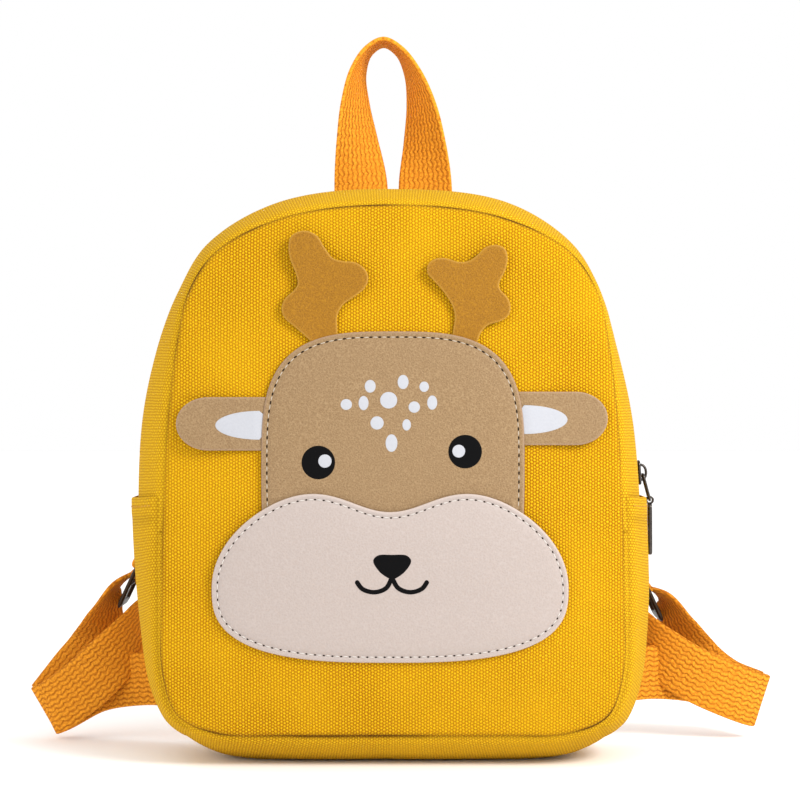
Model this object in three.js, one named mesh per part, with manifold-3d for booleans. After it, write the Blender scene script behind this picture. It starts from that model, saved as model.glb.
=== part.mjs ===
// A small child's backpack of cotton canvas with webbing straps and a leather-look animal face.
// Millimetres, +Z up. The front faces -Y and the wearer's back is at +Y.
// The origin is the middle of the base.
import * as THREE from "three";
import { mergeVertices } from "three/addons/utils/BufferGeometryUtils.js";
import Module from "manifold-3d";

// Body, from the front seam to the back seam
const HALF_DEPTH = 40;
const CANVAS = 1.6;
const GAP = 0.3;
const FRONT_CROWN = 7;
const BACK_CROWN = 3;
const CROWN_POWER = 3;
const BULGE_POWER = 2.4;
const PANEL_MIDDLE = { x: 0, z: 120 };

// How finely the walls are divided
const STEPS_PER_ROW = 4;
const FRONT_RINGS = 5;
const BACK_RINGS = 3;
const BAND_STEPS = { round: 76, base: 64, zipAcross: 3, baseAcross: 6 };
const POCKET_STEPS = { up: 24, across: 6 };
const CORNER_STEPS = 3;
const STEPS_PER_STATION = 3;
const FACE_STEPS = { head: 56, muzzle: 60, ear: 14, antler: 60, patchRings: 3, flapRings: 2 };

// The body's outline from the base to the top, with distances out from the middle. The seam line bounds the
// front and back panels. The bulge line is where the stuffed sides stand out furthest, half-way between them,
// and leans a little to the left towards the top.
const OUTLINE = table(
  ["place", "seam", "seamZ", "bulgeLeft", "bulgeRight", "bulgeZ"],
  [
    ["base_middle", 0, 13.5, 0, 0, -2],
    ["base_run", 45, 13.5, 50, 50, -1.5],
    ["corner_in", 75, 14.5, 78, 80.5, 2.5],
    ["corner", 92, 22, 95.4, 98.5, 14],
    ["corner_out", 98.5, 40, 104.2, 106.2, 30],
    ["pocket_low", 99, 70, 109.8, 110, 64],
    ["pocket_mouth", 98, 114, 112.3, 108.6, 112],
    ["side_middle", 96, 150, 110.5, 105.2, 150],
    ["side_high", 92.4, 181, 103.4, 97.9, 182],
    ["shoulder_low", 87.5, 203, 94.3, 90.7, 205],
    ["shoulder", 75, 221, 81.4, 78.4, 226],
    ["shoulder_top", 45, 235.5, 50, 50, 244.2],
    ["top_middle", 0, 240.5, 0, 0, 250],
  ],
);
const HALF_ROWS = OUTLINE.length - 1;
const ALL_ROWS = 2 * HALF_ROWS;

// Bands round the sides, told in rows of the outline from the base's middle
const BAND_JOIN_ROW = 5.7;
const BAND_END_GAP_ROWS = 0.01;
const ZIP_DEPTH = 6;
const ZIP_OPEN_WIDTH = 9.4;
const TAPE_INSET = 0.5;
const TAPE_THICKNESS = 1;
const COIL_WIDTH = 4;
const COIL_PROUD = 0.9;

// Side pockets
const POCKET_MOUTH_ROW = 6.06;
const POCKET_END_ROW = 2.45;
const POCKET_HALF_DEPTH = 37.4;
const POCKET_WALL = 1.4;
const POCKET_SLACK = 1.2;
const POCKET_SEWN = { thin: 0.25, share: 0.12 };

// Zip slider, which lies along the zip, and its pull, at the zip's lower end on the right
const SLIDER_ROW = 6.32;
const SLIDER_SPAN_ROWS = 0.15;
const SLIDER_PLATE = { wide: 8, long: 11, thick: 1.2, proud: 1.2, corner: 2 };
const CROWN_LOOP = { long: 7.8, tall: 3.1, wire: 1.2, wide: 1.5, sunk: 0.4, chamfer: 1, pivotFromEnd: 1.8 };
const LINK = { wide: 6.4, long: 13, wire: 1.1, corner: 1.6, innerCorner: 0.6 };
const LINK_SLANT = THREE.MathUtils.degToRad(15);
const TAB = { wide: 8, long: 22.9, thick: 1.8, neckWide: 3.2, eyeRadius: 1.9, eyeHole: 1.05, corner: 1.8 };

// Webbing and its three-bar sliders
const WEBBING = { wide: 25, thick: 1.8 };
const STRAP_SLIDER = { wide: 32, slotWide: 26.4, bar: 4, slot: 7, thick: 2, corner: 2.5, slotCorner: 0.8 };
const STRAP_SLIDER_TILT = THREE.MathUtils.degToRad(25);
const STRAP_SLIDER_PLACES = {
  left: { out: 121.8, back: 58, up: 72.5 },
  right: { out: 119.5, back: 62.5, up: 65.8 },
};

// Routes of the webbing as stations: out from the middle, back and up, and which way the width leans
const STRAP_COLUMNS = ["out", "back", "up", "leanOut", "leanBack", "leanUp"];

// Shoulder straps: sewn to the top of the back, then down and out to the slider's top bar, round it and
// back up against themselves
const SHOULDER_STRAP = table(STRAP_COLUMNS, [
  [45, 42.0, 235, 1, 0, 0.1],
  [46.5, 43.0, 224, 1, 0, 0.12],
  [49, 45.5, 213, 1, 0, 0.16],
  [57, 57, 188, 0.97, 0, 0.25],
  [68, 67, 160, 0.93, 0.1, 0.3],
  [83, 70, 132, 0.8, 0.45, 0.3],
  [98, 66, 112, 0.4, 0.9, 0.2],
]);
// Beside the slider's top bar: above the bar on its inner side, and back up on its outer side
const SHOULDER_SEWN_ROWS = table(
  ["down", "outward"],
  [
    [-25, -1.1],
    [-10, -1.1],
    [-5, -1.6],
  ],
);
const SHOULDER_END_ROWS = table(
  ["down", "outward"],
  [
    [-5, 1.6],
    [-10, 1.1],
    [-17, 1.1],
  ],
);

// Lower straps: sewn to the lower back corner, out to a fold that rests low beside the bag, back in front of
// itself to the slider's middle bar, over it, and down again as a tail behind both runs
const LOWER_STRAPS = {
  left: table(STRAP_COLUMNS, [
    [80, 42.8, 28, 0, 0, 1],
    [97, 43.4, 28, 0, 0, 1],
    [118, 51, 27.5, 0.08, 0, 1],
    [139, 56, 23.5, 0.3, 0, 0.95],
    [156, 57.5, 14.6, 0.51, 0, 0.86],
    [162, 53, 12.6, 0.51, 0, 0.86],
    [157, 48.5, 15, 0.48, 0, 0.88],
    [141, 47, 27, 0.28, 0, 0.96],
    [127.5, 49, 41, 0.23, -0.25, 0.94],
    [118, 54, 55, 0.2, -0.74, 0.65],
    [114.5, 57.5, 63, 0.05, -0.96, 0.2],
  ]),
  right: table(STRAP_COLUMNS, [
    [80, 42.8, 28.5, 0, 0, 1],
    [97, 43.4, 29, 0, 0, 1],
    [122, 51, 30.5, 0.05, 0, 1],
    [146, 56.5, 27, 0.15, 0, 0.99],
    [164.5, 58, 19, 0.31, 0, 0.95],
    [171, 53.5, 17, 0.31, 0, 0.95],
    [165.5, 49, 18.6, 0.31, 0, 0.95],
    [143, 47, 28, 0.36, 0, 0.93],
    [128, 49, 37, 0.4, -0.2, 0.88],
    [117, 54, 48, 0.3, -0.7, 0.65],
    [112.5, 61.5, 57, 0.05, -0.96, 0.2],
  ]),
};

// The tails, from the middle bar down behind both runs to the fold
const STRAP_TAILS = {
  left: table(STRAP_COLUMNS, [
    [129.5, 57, 68.5, 0.1, -0.99, 0.05],
    [135, 59, 58.5, 0.3, -0.92, 0.2],
    [138, 62, 41.5, 0.8, -0.2, 0.55],
    [149, 62, 27.5, 0.8, 0, 0.6],
    [160, 61.5, 15.5, 0.6, 0, 0.8],
  ]),
  right: table(STRAP_COLUMNS, [
    [129, 62, 62.5, 0.1, -0.99, 0.08],
    [132.5, 62.5, 53.5, 0.35, -0.8, 0.45],
    [141, 62, 37, 0.6, -0.12, 0.79],
    [155, 62.5, 25.5, 0.45, 0, 0.89],
    [169, 62, 18.4, 0.35, 0, 0.94],
  ]),
};

// Carry handle: both ends sewn flat to the top of the back side by side. The loop turns edge-on at its top.
const HANDLE = table(
  ["x", "back", "up", "turn"],
  [
    [-15, 42.6, 226, 0],
    [-14.9, 42.4, 240, 0],
    [-15, 43, 256, 12],
    [-16.6, 43, 277, 42],
    [-17.4, 43, 293, 60],
    [-16.2, 43, 308, 76],
    [-11.5, 43, 318, 86],
    [-4.6, 43, 322, 90],
    [2.5, 43, 318, 94],
    [8.5, 43, 308, 104],
    [12.5, 43, 293, 120],
    [14.2, 43, 275, 140],
    [14.6, 43, 256, 168],
    [14.9, 42.4, 240, 180],
    [15, 42.6, 226, 180],
  ],
);

// Leather-look face on the front panel
const LEATHER = 1.3;
const LEATHER_GAP = 0.6;
const HEAD = { halfWidth: 55.7, top: 186, brow: 130, bottom: 60, power: 3.2 };
const MUZZLE = { centreX: -1.2, halfWidth: 75.6, middle: 77, dip: 15.3, dipWidth: 25.4 };
const MUZZLE_UPPER = { height: 48, power: 2 };
const MUZZLE_LOWER = { height: 31.3, power: 2.8 };
const EAR = { root: 50, halfHeight: 11.3, tipLong: 13.6, lift: 3.5 };
const EAR_PLACES = { left: { tip: 91.9, middle: 146.9 }, right: { tip: 91, middle: 149.2 } };
const CUTTER_DEPTH = 30;
const ANTLER = { rootX: 30, rootZ: 186, centreZ: 204, reach: 44, lift: 3.5, liftPower: 1.3 };
const ANTLER_CENTRES = { left: 29, right: 34 };

// The two antlers' outlines as pairs of x and z, from the head round the inner, top and outer lobes and back
const ANTLER_OUTLINES = {
  left: [
    [24.3, 178], [23.5, 185.8], [23.5, 192.6], [21.2, 197.1], [15.9, 200.9], [11.7, 204.6], [10.4, 208.4],
    [11.7, 212.2], [15.9, 215.2], [21.2, 215.8], [25.3, 217], [28.7, 221.2], [32.5, 226.9], [37.8, 228.7],
    [43, 226.5], [44.2, 222], [43.5, 216.7], [41.2, 210.7], [40.3, 206.2], [41.5, 203.9], [46, 199.4],
    [47.1, 195.6], [46, 191.9], [40.8, 187.3], [34.3, 181.3], [32, 178],
  ],
  right: [
    [25, 178], [25.4, 185.8], [26.2, 192.6], [25, 197.1], [21.7, 202.4], [17.1, 207.7], [14.6, 210.7],
    [14.9, 214.4], [17.9, 216.7], [22.4, 217], [27.7, 215.5], [32.2, 215.9], [35.9, 218.5], [39, 221.5],
    [43.5, 222.7], [47.3, 221.2], [48.6, 217.4], [47.7, 212.2], [45, 206.2], [45.4, 203.9], [48.7, 200.1],
    [49.8, 196.4], [49, 192.9], [45.7, 190.4], [40.5, 188.8], [37.5, 185.8], [35.7, 181.3], [35, 178],
  ],
};

const wasm = await Module();
wasm.setup();

// Rows of values as objects with the columns' names.
function table(columns, rows) {
  return rows.map((row) => Object.fromEntries(columns.map((column, index) => [column, row[index]])));
}

// A closed curve in the XZ plane up the right side and down the left one, from columns of the outline.
function closedOutline(outRight, outLeft, up) {
  const right = OUTLINE.map((row) => new THREE.Vector3(row[outRight], 0, row[up]));
  const left = OUTLINE.slice(1, -1).map((row) => new THREE.Vector3(-row[outLeft], 0, row[up]));
  return new THREE.CatmullRomCurve3([...right, ...left.reverse()], true);
}

const seamLine = closedOutline("seam", "seam", "seamZ");
const bulgeLine = closedOutline("bulgeRight", "bulgeLeft", "bulgeZ");

// Evenly spaced numbers from one value to another, both included.
function spread(from, to, steps) {
  return Array.from({ length: steps + 1 }, (_, index) => from + ((to - from) * index) / steps);
}

// A point of the stuffed sides at a row of the outline and a depth, moved outwards by a distance.
// Nothing goes below the surface that the bag stands on.
function bodyPoint(row, depth, outward) {
  const share = THREE.MathUtils.euclideanModulo(row / ALL_ROWS, 1);
  const fullness = 1 - Math.abs(depth / HALF_DEPTH) ** BULGE_POWER;
  const point = seamLine.getPoint(share).lerp(bulgeLine.getPoint(share), fullness);
  const along = seamLine.getTangent(share).lerp(bulgeLine.getTangent(share), fullness).normalize();
  const floor = Math.max(0, -outward);
  return new THREE.Vector3(
    point.x + along.z * outward,
    depth,
    Math.max(floor, point.z - along.x * outward),
  );
}

// How far a point in the XZ plane lies from a panel's middle to its seam, as a share of that way.
const seamPoints = seamLine.getPoints(ALL_ROWS * STEPS_PER_ROW);
function shareToSeam(x, z) {
  const dx = x - PANEL_MIDDLE.x;
  const dz = z - PANEL_MIDDLE.z;
  let share = 0;
  for (let index = 1; index < seamPoints.length; index++) {
    const from = seamPoints[index - 1];
    const to = seamPoints[index];
    const sideX = to.x - from.x;
    const sideZ = to.z - from.z;
    const turn = sideX * dz - sideZ * dx;
    if (Math.abs(turn) < 1e-9) {
      continue;
    }
    const fromX = from.x - PANEL_MIDDLE.x;
    const fromZ = from.z - PANEL_MIDDLE.z;
    const reach = (sideX * fromZ - sideZ * fromX) / turn;
    const place = (dx * fromZ - dz * fromX) / turn;
    if (reach > 0 && place >= -1e-6 && place <= 1 + 1e-6) {
      share = Math.max(share, 1 / reach);
    }
  }
  return share;
}

// How far a stuffed panel stands out beyond its seam.
function crownAt(share, crown) {
  return crown * (1 - Math.min(1, share) ** CROWN_POWER);
}

// Outer surface of the front at a place in the XZ plane.
function frontAt(x, z) {
  return -HALF_DEPTH - crownAt(shareToSeam(x, z), FRONT_CROWN);
}

// A closed wall between an outer and an inner grid of points. The rows of a ring meet end to end.
function wall(outer, inner, ring) {
  const columns = outer[0].length;
  const points = [...outer.flat(), ...inner.flat()];
  const innerStart = outer.length * columns;
  const triangles = [];
  const same = (a, b) => points[a].distanceToSquared(points[b]) < 1e-9;
  const triangle = (a, b, c) => {
    if (!same(a, b) && !same(b, c) && !same(c, a)) {
      triangles.push(a, b, c);
    }
  };
  const quad = (a, b, c, d) => {
    triangle(a, b, c);
    triangle(a, c, d);
  };
  const rowCount = ring ? outer.length : outer.length - 1;
  const at = (row, column) => (row % outer.length) * columns + column;
  for (let row = 0; row < rowCount; row++) {
    for (let column = 0; column < columns - 1; column++) {
      const corners = [at(row, column), at(row + 1, column), at(row + 1, column + 1), at(row, column + 1)];
      const [a, b, c, d] = corners.map((corner) => corner + innerStart);
      quad(...corners);
      quad(a, d, c, b);
    }
    const last = columns - 1;
    quad(at(row + 1, 0), at(row, 0), at(row, 0) + innerStart, at(row + 1, 0) + innerStart);
    quad(at(row, last), at(row + 1, last), at(row + 1, last) + innerStart, at(row, last) + innerStart);
  }
  if (!ring) {
    const end = outer.length - 1;
    for (let column = 0; column < columns - 1; column++) {
      const next = column + 1;
      quad(at(0, column), at(0, next), at(0, next) + innerStart, at(0, column) + innerStart);
      quad(at(end, next), at(end, column), at(end, column) + innerStart, at(end, next) + innerStart);
    }
  }
  return facingOut(points, triangles);
}

// A geometry of points and triangles, turned so that it encloses a positive volume.
function facingOut(points, triangles) {
  let volume = 0;
  for (let index = 0; index < triangles.length; index += 3) {
    const [a, b, c] = [0, 1, 2].map((corner) => points[triangles[index + corner]]);
    volume += a.dot(new THREE.Vector3().crossVectors(b, c));
  }
  const geometry = new THREE.BufferGeometry().setFromPoints(points);
  geometry.setIndex(volume < 0 ? [...triangles].reverse() : triangles);
  return mergeVertices(geometry);
}

// A band of cloth round the sides between two rows and two depths, standing off by named distances.
function band(rows, depths, outside, inside) {
  const layer = (outward) => rows.map((row) => depths.map((depth) => bodyPoint(row, depth, outward)));
  return wall(layer(outside), layer(inside), false);
}

// A front or back panel, as rings from its middle to its seam.
function panel(surface, thickness, rings) {
  const shares = spread(0, 1, rings);
  const outline = seamPoints.slice(0, -1);
  const layer = (inset) =>
    outline.map((rim) =>
      shares.map((share) => {
        const x = PANEL_MIDDLE.x + (rim.x - PANEL_MIDDLE.x) * share;
        const z = PANEL_MIDDLE.z + (rim.z - PANEL_MIDDLE.z) * share;
        return new THREE.Vector3(x, surface(share) + inset, z);
      }),
    );
  return wall(layer(0), layer(thickness), true);
}

// A strip of webbing along hand-placed stations, each with the direction of the webbing's width.
function webbing(stations) {
  const route = new THREE.CatmullRomCurve3(stations.map((station) => station.point));
  const width = new THREE.CatmullRomCurve3(stations.map((station) => station.across), false, "catmullrom");
  const layers = { upper: [], lower: [] };
  for (const share of spread(0, 1, STEPS_PER_STATION * (stations.length - 1))) {
    const middle = route.getPoint(share);
    const along = route.getTangent(share);
    const across = width.getPoint(share);
    across.addScaledVector(along, -across.dot(along)).normalize();
    const normal = new THREE.Vector3().crossVectors(along, across);
    for (const [name, side] of [["upper", 0.5], ["lower", -0.5]]) {
      const face = middle.clone().addScaledVector(normal, side * WEBBING.thick);
      const edges = [-0.5, 0.5].map((edge) => face.clone().addScaledVector(across, edge * WEBBING.wide));
      layers[name].push(edges);
    }
  }
  return wall(layers.upper, layers.lower, false);
}

// A leather patch on the front panel from its outline round a centre. It lifts away from the canvas
// by a distance that grows from the place where it is sewn down.
function patch(outline, centre, rings, liftAt) {
  const shares = spread(0, 1, rings);
  const layer = (height) =>
    outline.map((rim) =>
      shares.map((share) => {
        const x = centre.x + (rim.x - centre.x) * share;
        const z = centre.z + (rim.z - centre.z) * share;
        return new THREE.Vector3(x, frontAt(x, z) - LEATHER_GAP - liftAt(x, z) - height, z);
      }),
    );
  return wall(layer(LEATHER), layer(0), true);
}

// A closed mesh as a solid for joining and cutting, and a solid as a mesh again.
function solid(geometry) {
  const bare = geometry.clone();
  bare.deleteAttribute("normal");
  bare.deleteAttribute("uv");
  const merged = mergeVertices(bare);
  const vertProperties = new Float32Array(merged.attributes.position.array);
  const triVerts = new Uint32Array(merged.index.array);
  return new wasm.Manifold(new wasm.Mesh({ numProp: 3, vertProperties, triVerts }));
}
function fromSolid(body) {
  const mesh = body.getMesh();
  const geometry = new THREE.BufferGeometry();
  geometry.setAttribute("position", new THREE.BufferAttribute(new Float32Array(mesh.vertProperties), 3));
  geometry.setIndex(new THREE.BufferAttribute(new Uint32Array(mesh.triVerts), 1));
  return geometry;
}

// A rounded rectangle round the origin.
function roundedRectangle(wide, tall, corner) {
  const shape = new THREE.Shape();
  const x = wide / 2 - corner;
  const y = tall / 2 - corner;
  shape.absarc(x, y, corner, 0, Math.PI / 2);
  shape.absarc(-x, y, corner, Math.PI / 2, Math.PI);
  shape.absarc(-x, -y, corner, Math.PI, 1.5 * Math.PI);
  shape.absarc(x, -y, corner, 1.5 * Math.PI, 2 * Math.PI);
  return shape;
}

// A plate of a shape, centred on its thickness.
function plate(shape, thickness, curveSegments) {
  const geometry = new THREE.ExtrudeGeometry(shape, { depth: thickness, bevelEnabled: false, curveSegments });
  geometry.translate(0, 0, -thickness / 2);
  return geometry;
}

// Turns a plate drawn in X and Y so that it stands in the YZ plane, or in the XZ plane.
function standAcross(geometry) {
  return geometry.rotateX(Math.PI / 2).rotateZ(Math.PI / 2);
}
function standAlong(geometry) {
  return geometry.rotateX(Math.PI / 2);
}

const backpack = new THREE.Group();

// Finishes
function finish(colour, roughness, metalness = 0) {
  return new THREE.MeshStandardMaterial({ color: colour, roughness, metalness });
}
const FINISHES = {
  canvas: () => finish("#eeb51f", 0.9),
  zipTape: () => finish("#d9a01c", 0.85),
  zipCoil: () => finish("#c98f16", 0.5),
  webbing: () => finish("#f29a2e", 0.9),
  headLeather: () => finish("#b99870", 0.55),
  antlerLeather: () => finish("#c28a3a", 0.55),
  muzzleLeather: () => finish("#d9c8bf", 0.5),
  gunmetal: () => finish("#4a4744", 0.35, 1),
};

// Adds one named piece to a group.
function add(group, name, geometry, material) {
  const mesh = new THREE.Mesh(geometry, material());
  mesh.name = name;
  group.add(mesh);
  return mesh;
}

// Canvas shell: the front and back panels and the bands between them
const bandEdge = HALF_DEPTH - CANVAS - GAP;
const zipFront = ZIP_DEPTH - ZIP_OPEN_WIDTH / 2;
const zipRear = ZIP_DEPTH + ZIP_OPEN_WIDTH / 2;
const zipStartRow = BAND_JOIN_ROW + BAND_END_GAP_ROWS;
const zipRows = spread(zipStartRow, ALL_ROWS - zipStartRow, BAND_STEPS.round);
const baseRows = spread(-BAND_JOIN_ROW, BAND_JOIN_ROW, BAND_STEPS.base);

function addShell(group) {
  const front = panel((share) => -HALF_DEPTH - crownAt(share, FRONT_CROWN), CANVAS, FRONT_RINGS);
  const back = panel((share) => HALF_DEPTH + crownAt(share, BACK_CROWN), -CANVAS, BACK_RINGS);
  add(group, "front_panel", front, FINISHES.canvas);
  add(group, "back_panel", back, FINISHES.canvas);
  const bands = table(
    ["name", "rows", "from", "to", "steps"],
    [
      ["zip_band_front", zipRows, -bandEdge, zipFront - GAP, BAND_STEPS.zipAcross],
      ["zip_band_rear", zipRows, zipRear + GAP, bandEdge, BAND_STEPS.zipAcross],
      ["base_band", baseRows, -bandEdge, bandEdge, BAND_STEPS.baseAcross],
    ],
  );
  for (const { name, rows, from, to, steps } of bands) {
    add(group, name, band(rows, spread(from, to, steps), 0, -CANVAS), FINISHES.canvas);
  }
}

// Side pockets, which stand off the band most at the middle of their mouth
function addPocket(group, name, mirrored) {
  const rows = spread(POCKET_END_ROW, POCKET_MOUTH_ROW, POCKET_STEPS.up);
  const depths = spread(-POCKET_HALF_DEPTH, POCKET_HALF_DEPTH, POCKET_STEPS.across);
  const layer = (thickness) =>
    rows.map((row) =>
      depths.map((depth) => {
        const rise = (row - POCKET_END_ROW) / (POCKET_MOUTH_ROW - POCKET_END_ROW);
        const middle = 1 - (depth / POCKET_HALF_DEPTH) ** 2;
        const slack = GAP + POCKET_SLACK * rise * middle;
        const sewnThin = Math.min(1, POCKET_SEWN.thin + rise / POCKET_SEWN.share);
        return bodyPoint(mirrored ? -row : row, depth, slack + thickness * sewnThin);
      }),
    );
  add(group, name, wall(layer(POCKET_WALL), layer(0), false), FINISHES.canvas);
}

// Zip: tape, coil, slider with its crown loop, and the pull that hangs from the loop
function addZip(group) {
  const tapeDepths = [zipFront, zipRear];
  const coilDepths = [ZIP_DEPTH - COIL_WIDTH / 2, ZIP_DEPTH + COIL_WIDTH / 2];
  const tape = band(zipRows, tapeDepths, -TAPE_INSET, -TAPE_INSET - TAPE_THICKNESS);
  const coil = band(zipRows, coilDepths, COIL_PROUD, GAP - TAPE_INSET);
  add(group, "zip_tape", tape, FINISHES.zipTape);
  add(group, "zip_coil", coil, FINISHES.zipCoil);

  const slider = new THREE.Group();
  slider.position.copy(bodyPoint(SLIDER_ROW, ZIP_DEPTH, 0));
  const upTheZip = bodyPoint(SLIDER_ROW + SLIDER_SPAN_ROWS, ZIP_DEPTH, 0);
  upTheZip.sub(bodyPoint(SLIDER_ROW - SLIDER_SPAN_ROWS, ZIP_DEPTH, 0));
  slider.rotation.y = Math.atan2(upTheZip.x, upTheZip.z);
  group.add(slider);
  const plateTop = SLIDER_PLATE.proud + SLIDER_PLATE.thick;
  const baseShape = roundedRectangle(SLIDER_PLATE.wide, SLIDER_PLATE.long, SLIDER_PLATE.corner);
  const base = standAcross(plate(baseShape, SLIDER_PLATE.thick, CORNER_STEPS));
  base.translate(SLIDER_PLATE.proud + SLIDER_PLATE.thick / 2, 0, 0);
  const loopShape = new THREE.Shape();
  const foot = plateTop - CROWN_LOOP.sunk;
  loopShape.moveTo(foot, -CROWN_LOOP.long / 2);
  loopShape.quadraticCurveTo(plateTop + CROWN_LOOP.tall, -CROWN_LOOP.long / 2, plateTop + CROWN_LOOP.tall, 0);
  loopShape.quadraticCurveTo(plateTop + CROWN_LOOP.tall, CROWN_LOOP.long / 2, foot, CROWN_LOOP.long / 2);
  const eye = new THREE.Path();
  const eyeTop = plateTop + CROWN_LOOP.tall - CROWN_LOOP.wire;
  const eyeEnd = CROWN_LOOP.long / 2 - CROWN_LOOP.wire;
  eye.moveTo(plateTop, -eyeEnd);
  eye.lineTo(plateTop, eyeEnd);
  eye.lineTo(eyeTop, eyeEnd - CROWN_LOOP.chamfer);
  eye.lineTo(eyeTop, CROWN_LOOP.chamfer - eyeEnd);
  loopShape.holes.push(eye);
  const loop = standAlong(plate(loopShape, CROWN_LOOP.wide, 2 * CORNER_STEPS));
  add(slider, "zip_slider", fromSolid(solid(base).add(solid(loop))), FINISHES.gunmetal);
  const pull = zipPull((plateTop + eyeTop) / 2, CROWN_LOOP.pivotFromEnd - eyeEnd);
  pull.rotation.y = -slider.rotation.y;
  slider.add(pull);
}

// The pull's link and tab, in a group whose origin is the crown loop's pivot.
function zipPull(pivotX, pivotZ) {
  const pull = new THREE.Group();
  pull.position.set(pivotX, 0, pivotZ);
  const linkShape = roundedRectangle(LINK.wide, LINK.long, LINK.corner);
  const linkHole = { wide: LINK.wide - 2 * LINK.wire, long: LINK.long - 2 * LINK.wire };
  linkShape.holes.push(roundedRectangle(linkHole.wide, linkHole.long, LINK.innerCorner));
  const link = standAcross(plate(linkShape, LINK.wire, CORNER_STEPS));
  const reach = LINK.long - LINK.wire;
  link.translate(0, 0, -reach / 2);
  link.rotateY(-LINK_SLANT);
  add(pull, "zip_pull_link", link, FINISHES.gunmetal);

  const ring = new THREE.Shape().absarc(0, 0, TAB.eyeRadius, 0, 2 * Math.PI);
  ring.holes.push(new THREE.Path().absarc(0, 0, TAB.eyeHole, 0, 2 * Math.PI));
  const eye = standAlong(plate(ring, TAB.neckWide, 2 * CORNER_STEPS));
  const barShape = roundedRectangle(TAB.wide, TAB.long, TAB.corner);
  const bar = standAcross(plate(barShape, TAB.thick, CORNER_STEPS));
  bar.translate(0, 0, -TAB.eyeHole - GAP - TAB.long / 2);
  const tab = fromSolid(solid(eye).add(solid(bar)));
  tab.translate(Math.sin(LINK_SLANT) * reach, 0, -Math.cos(LINK_SLANT) * reach);
  add(pull, "zip_pull_tab", tab, FINISHES.gunmetal);
  return pull;
}

// A station of a strap from its distance out from the middle, back and up, and its width's lean.
function station(sign, row) {
  return {
    point: new THREE.Vector3(sign * row.out, row.back, row.up),
    across: new THREE.Vector3(sign * row.leanOut, row.leanBack, row.leanUp),
  };
}

// A station beside a strap slider: its distance down along the slider, and outwards from its middle plane.
// The width leans back, or forward where the webbing comes to the slider from a twist.
function sliderStation(sign, place, { down, outward }, leanBack) {
  const out = place.out + down * Math.sin(STRAP_SLIDER_TILT) + outward * Math.cos(STRAP_SLIDER_TILT);
  const up = place.up - down * Math.cos(STRAP_SLIDER_TILT) + outward * Math.sin(STRAP_SLIDER_TILT);
  return station(sign, { out, back: place.back, up, leanOut: 0, leanBack, leanUp: 0 });
}
const barStep = STRAP_SLIDER.bar + STRAP_SLIDER.slot;
const barMargin = WEBBING.thick / 2 + 1.5 * GAP;

// The webbing's way round one bar of a slider, from its inner to its outer side. It turns below the bar
// where the way is 1, and above it where the way is -1.
function turnRoundBar(barPlace, way) {
  const side = STRAP_SLIDER.thick / 2;
  const corners = [[-1, [-90, -45, 0]], [1, [0, 45, 90]]];
  return corners.flatMap(([outer, angles]) =>
    angles.map((degrees) => {
      const angle = THREE.MathUtils.degToRad(degrees);
      const down = barPlace + way * (STRAP_SLIDER.bar / 2 + barMargin * Math.cos(angle));
      return { down, outward: outer * side + barMargin * Math.sin(angle) };
    }),
  );
}

// Shoulder straps, lower straps and their sliders on both sides
function addStraps(group) {
  for (const [side, sign] of [["left", -1], ["right", 1]]) {
    const place = STRAP_SLIDER_PLACES[side];
    const beside = (row) => sliderStation(sign, place, row, 1);
    const besideTwisted = (row) => sliderStation(sign, place, row, -1);
    const plain = (row) => station(sign, row);
    const fromTopBar = (row) => ({ ...row, down: row.down - barStep });
    const topLoop = [
      ...SHOULDER_SEWN_ROWS.map(fromTopBar),
      ...turnRoundBar(-barStep, 1),
      ...SHOULDER_END_ROWS.map(fromTopBar),
    ];
    const shoulder = [...SHOULDER_STRAP.map(plain), ...topLoop.map(beside)];
    const tail = STRAP_TAILS[side].map(plain);
    const lower = [...LOWER_STRAPS[side].map(plain), ...turnRoundBar(0, -1).map(besideTwisted), ...tail];
    add(group, `shoulder_strap_${side}`, webbing(shoulder), FINISHES.webbing);
    add(group, `lower_strap_${side}`, webbing(lower), FINISHES.webbing);
    add(group, `strap_slider_${side}`, strapSlider(sign, place), FINISHES.gunmetal);
  }
}

// A flat slider with three bars and two slots, standing along its strap.
function strapSlider(sign, place) {
  const long = 3 * STRAP_SLIDER.bar + 2 * STRAP_SLIDER.slot;
  const shape = roundedRectangle(STRAP_SLIDER.wide, long, STRAP_SLIDER.corner);
  for (const step of [-0.5, 0.5]) {
    const slot = roundedRectangle(STRAP_SLIDER.slotWide, STRAP_SLIDER.slot, STRAP_SLIDER.slotCorner);
    const shift = new THREE.Vector2(0, step * barStep);
    shape.holes.push(new THREE.Path(slot.getPoints(CORNER_STEPS).map((point) => point.add(shift))));
  }
  const slider = standAcross(plate(shape, STRAP_SLIDER.thick, CORNER_STEPS));
  slider.rotateY(-sign * STRAP_SLIDER_TILT);
  return slider.translate(sign * place.out, place.back, place.up);
}

// Carry handle
function addHandle(group) {
  const stations = HANDLE.map((row) => {
    const turn = THREE.MathUtils.degToRad(row.turn);
    return {
      point: new THREE.Vector3(row.x, row.back, row.up),
      across: new THREE.Vector3(Math.cos(turn), Math.sin(turn), 0),
    };
  });
  add(group, "carry_handle", webbing(stations), FINISHES.webbing);
}

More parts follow.
